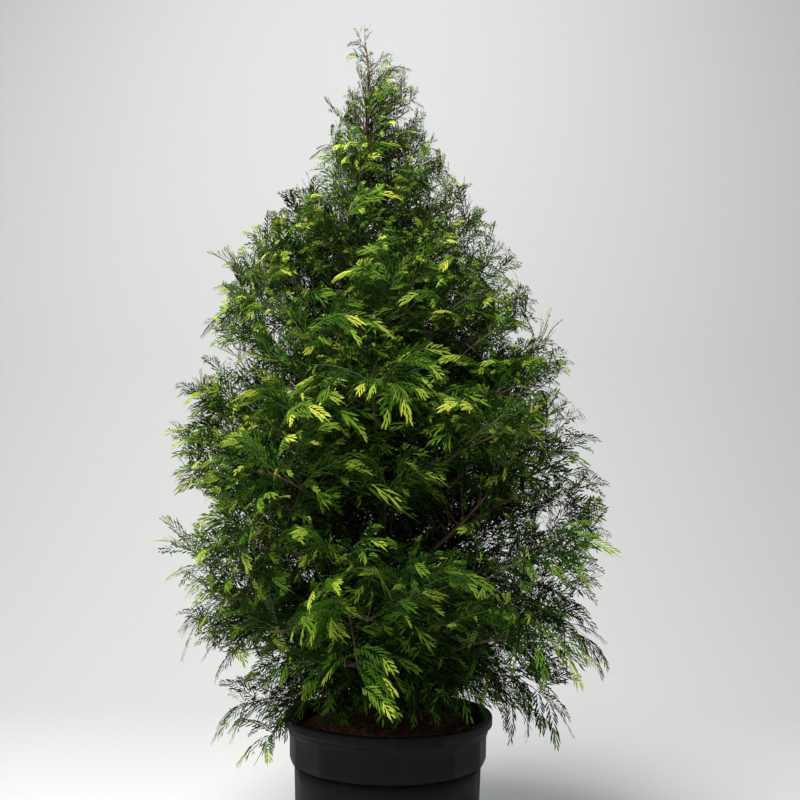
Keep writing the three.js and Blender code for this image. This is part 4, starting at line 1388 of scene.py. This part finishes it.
def frond_places(spray, draw):
    """Each frond's start along the rib, turn, length and freshness: one at the tip, others beside."""
    size = spray.size
    if size < SMALL_SPRAY or spray.kind == "finer":
        places = [(size * 0.05, 0.0, size * 0.95, 0.85)]
        count = 2 + (size > 0.125)
    else:
        places = [(size * 0.46, 0.0, size * 0.54, 0.85)]
        count = max(3, int(round(6.4 * min(1.25, size / 0.17))))
    for k in range(count):
        hand = 1 if k % 2 else -1
        u = (k + 0.3 * draw()) / count
        turn = math.radians(44 - 8 * u + 18 * (draw() - 0.5))
        longest = min(LONGEST_SIDE_FROND, size * math.sin(math.pi * (0.32 + 0.42 * u)) * 0.5)
        length = longest * (0.75 + 0.4 * draw())
        places.append((size * (0.03 + 0.62 * u), hand * turn, length, 0.25 + 0.6 * u))
    return places


def frond_points(pattern, spray, place, bend):
    """A pattern's points laid on a spray, rolled, pitched and nodding as its bend says."""
    start, turn, length, _ = place
    roll, pitch, nod = bend
    x, y, z = pattern.T * length
    y, z = y * math.cos(roll) - z * math.sin(roll), y * math.sin(roll) + z * math.cos(roll)
    z = z + pitch * x - nod * x * x / max(length, 0.02)
    along = start + x * math.cos(turn) - y * math.sin(turn)
    beside = x * math.sin(turn) + y * math.cos(turn)
    arch = (x * (FROND_LIFT - FROND_NOD * x / length))[:, None]
    return nodded(spray, spray.surface(along, beside, z)) + UP * arch


def tints_of(spray, freshness, point, draw):
    """The tints of a frond's foot and tip, with painted light at the crown's outside, top and light side."""
    x, _, z = point
    # Painted light at the crown's outside, painted shade on inner shoots; freshness is the frond's own.
    light = EDGE_LIGHT * min(depth_in_crown(point), 1.15) + KIND_LIGHT[spray.kind] + FRESH_LIGHT * freshness
    # Chance is the frond's own tone; below LOW_HEIGHT comes painted shade.
    light += CHANCE_LIGHT * (draw() - 0.5) + LOW_SHADE * min(z - LOW_HEIGHT, 0.0)
    # Painted light above TOP_HEIGHT and on the left side, where x is below zero.
    light += TOP_LIGHT * max(z - TOP_HEIGHT, 0.0) + LIGHT_START - SUNNY_SIDE * x ** 3
    return [list(TINTS)[int(np.searchsorted(TINT_STEPS, light + more))] for more in (0, NEW_LIGHT)]


def gathered_fronds():
    """Every frond, gathered by tint into bundles that each stay under the limit."""
    patterns = [[frond_pattern(k, **kind) for k in range(PATTERNS)]
                for kind in (SHORT_FROND, MIDDLE_FROND, LONG_FROND, GREAT_FROND, INNER_FROND)]
    end = np.array([[1.0, 0.0, 0.0]])
    draw = seeded(6000)
    bundles = {tint: [Bundle()] for tint in TINTS}
    for spray in crown_sprays:
        for place in frond_places(spray, draw):
            root = spray.surface(place[0], 0, 0)
            inner = depth_in_crown(root) < INNER_DEPTH
            kind = patterns[-1 if inner else int(np.searchsorted(FROND_STEPS, place[2]))]
            pattern = kind[int(draw() * PATTERNS)]
            bend = (FROND_ROLL * (draw() - 0.5), FROND_PITCH * (draw() - 0.45), FROND_DROOP * draw())
            tints = tints_of(spray, place[3], root, draw)
            if not hangs_free(frond_points(end, spray, place, bend), FRONT_LIFT):
                continue
            for (flat, faces), tint in zip(pattern, tints):
                if bundles[tint][-1].triangles + len(faces) > LEAF_PIECE_LIMIT:
                    bundles[tint].append(Bundle())
                bundles[tint][-1].add(frond_points(flat, spray, place, bend), faces)
    return bundles


# One leaf material for each tint, so lighter and darker fronds are copies in painted light and shade.
for tint, bundles in gathered_fronds().items():
    leaf = Finish("leaf_" + tint, TINTS[tint], roughness=0.7, specular=0.07)
    for number, bundle in enumerate(bundles, 1):
        fronds = bundle.piece(f"fronds_{tint}_{number}", smooth=False)
        leaf.on(fronds)
        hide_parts(*masses)
        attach(fronds, "root")
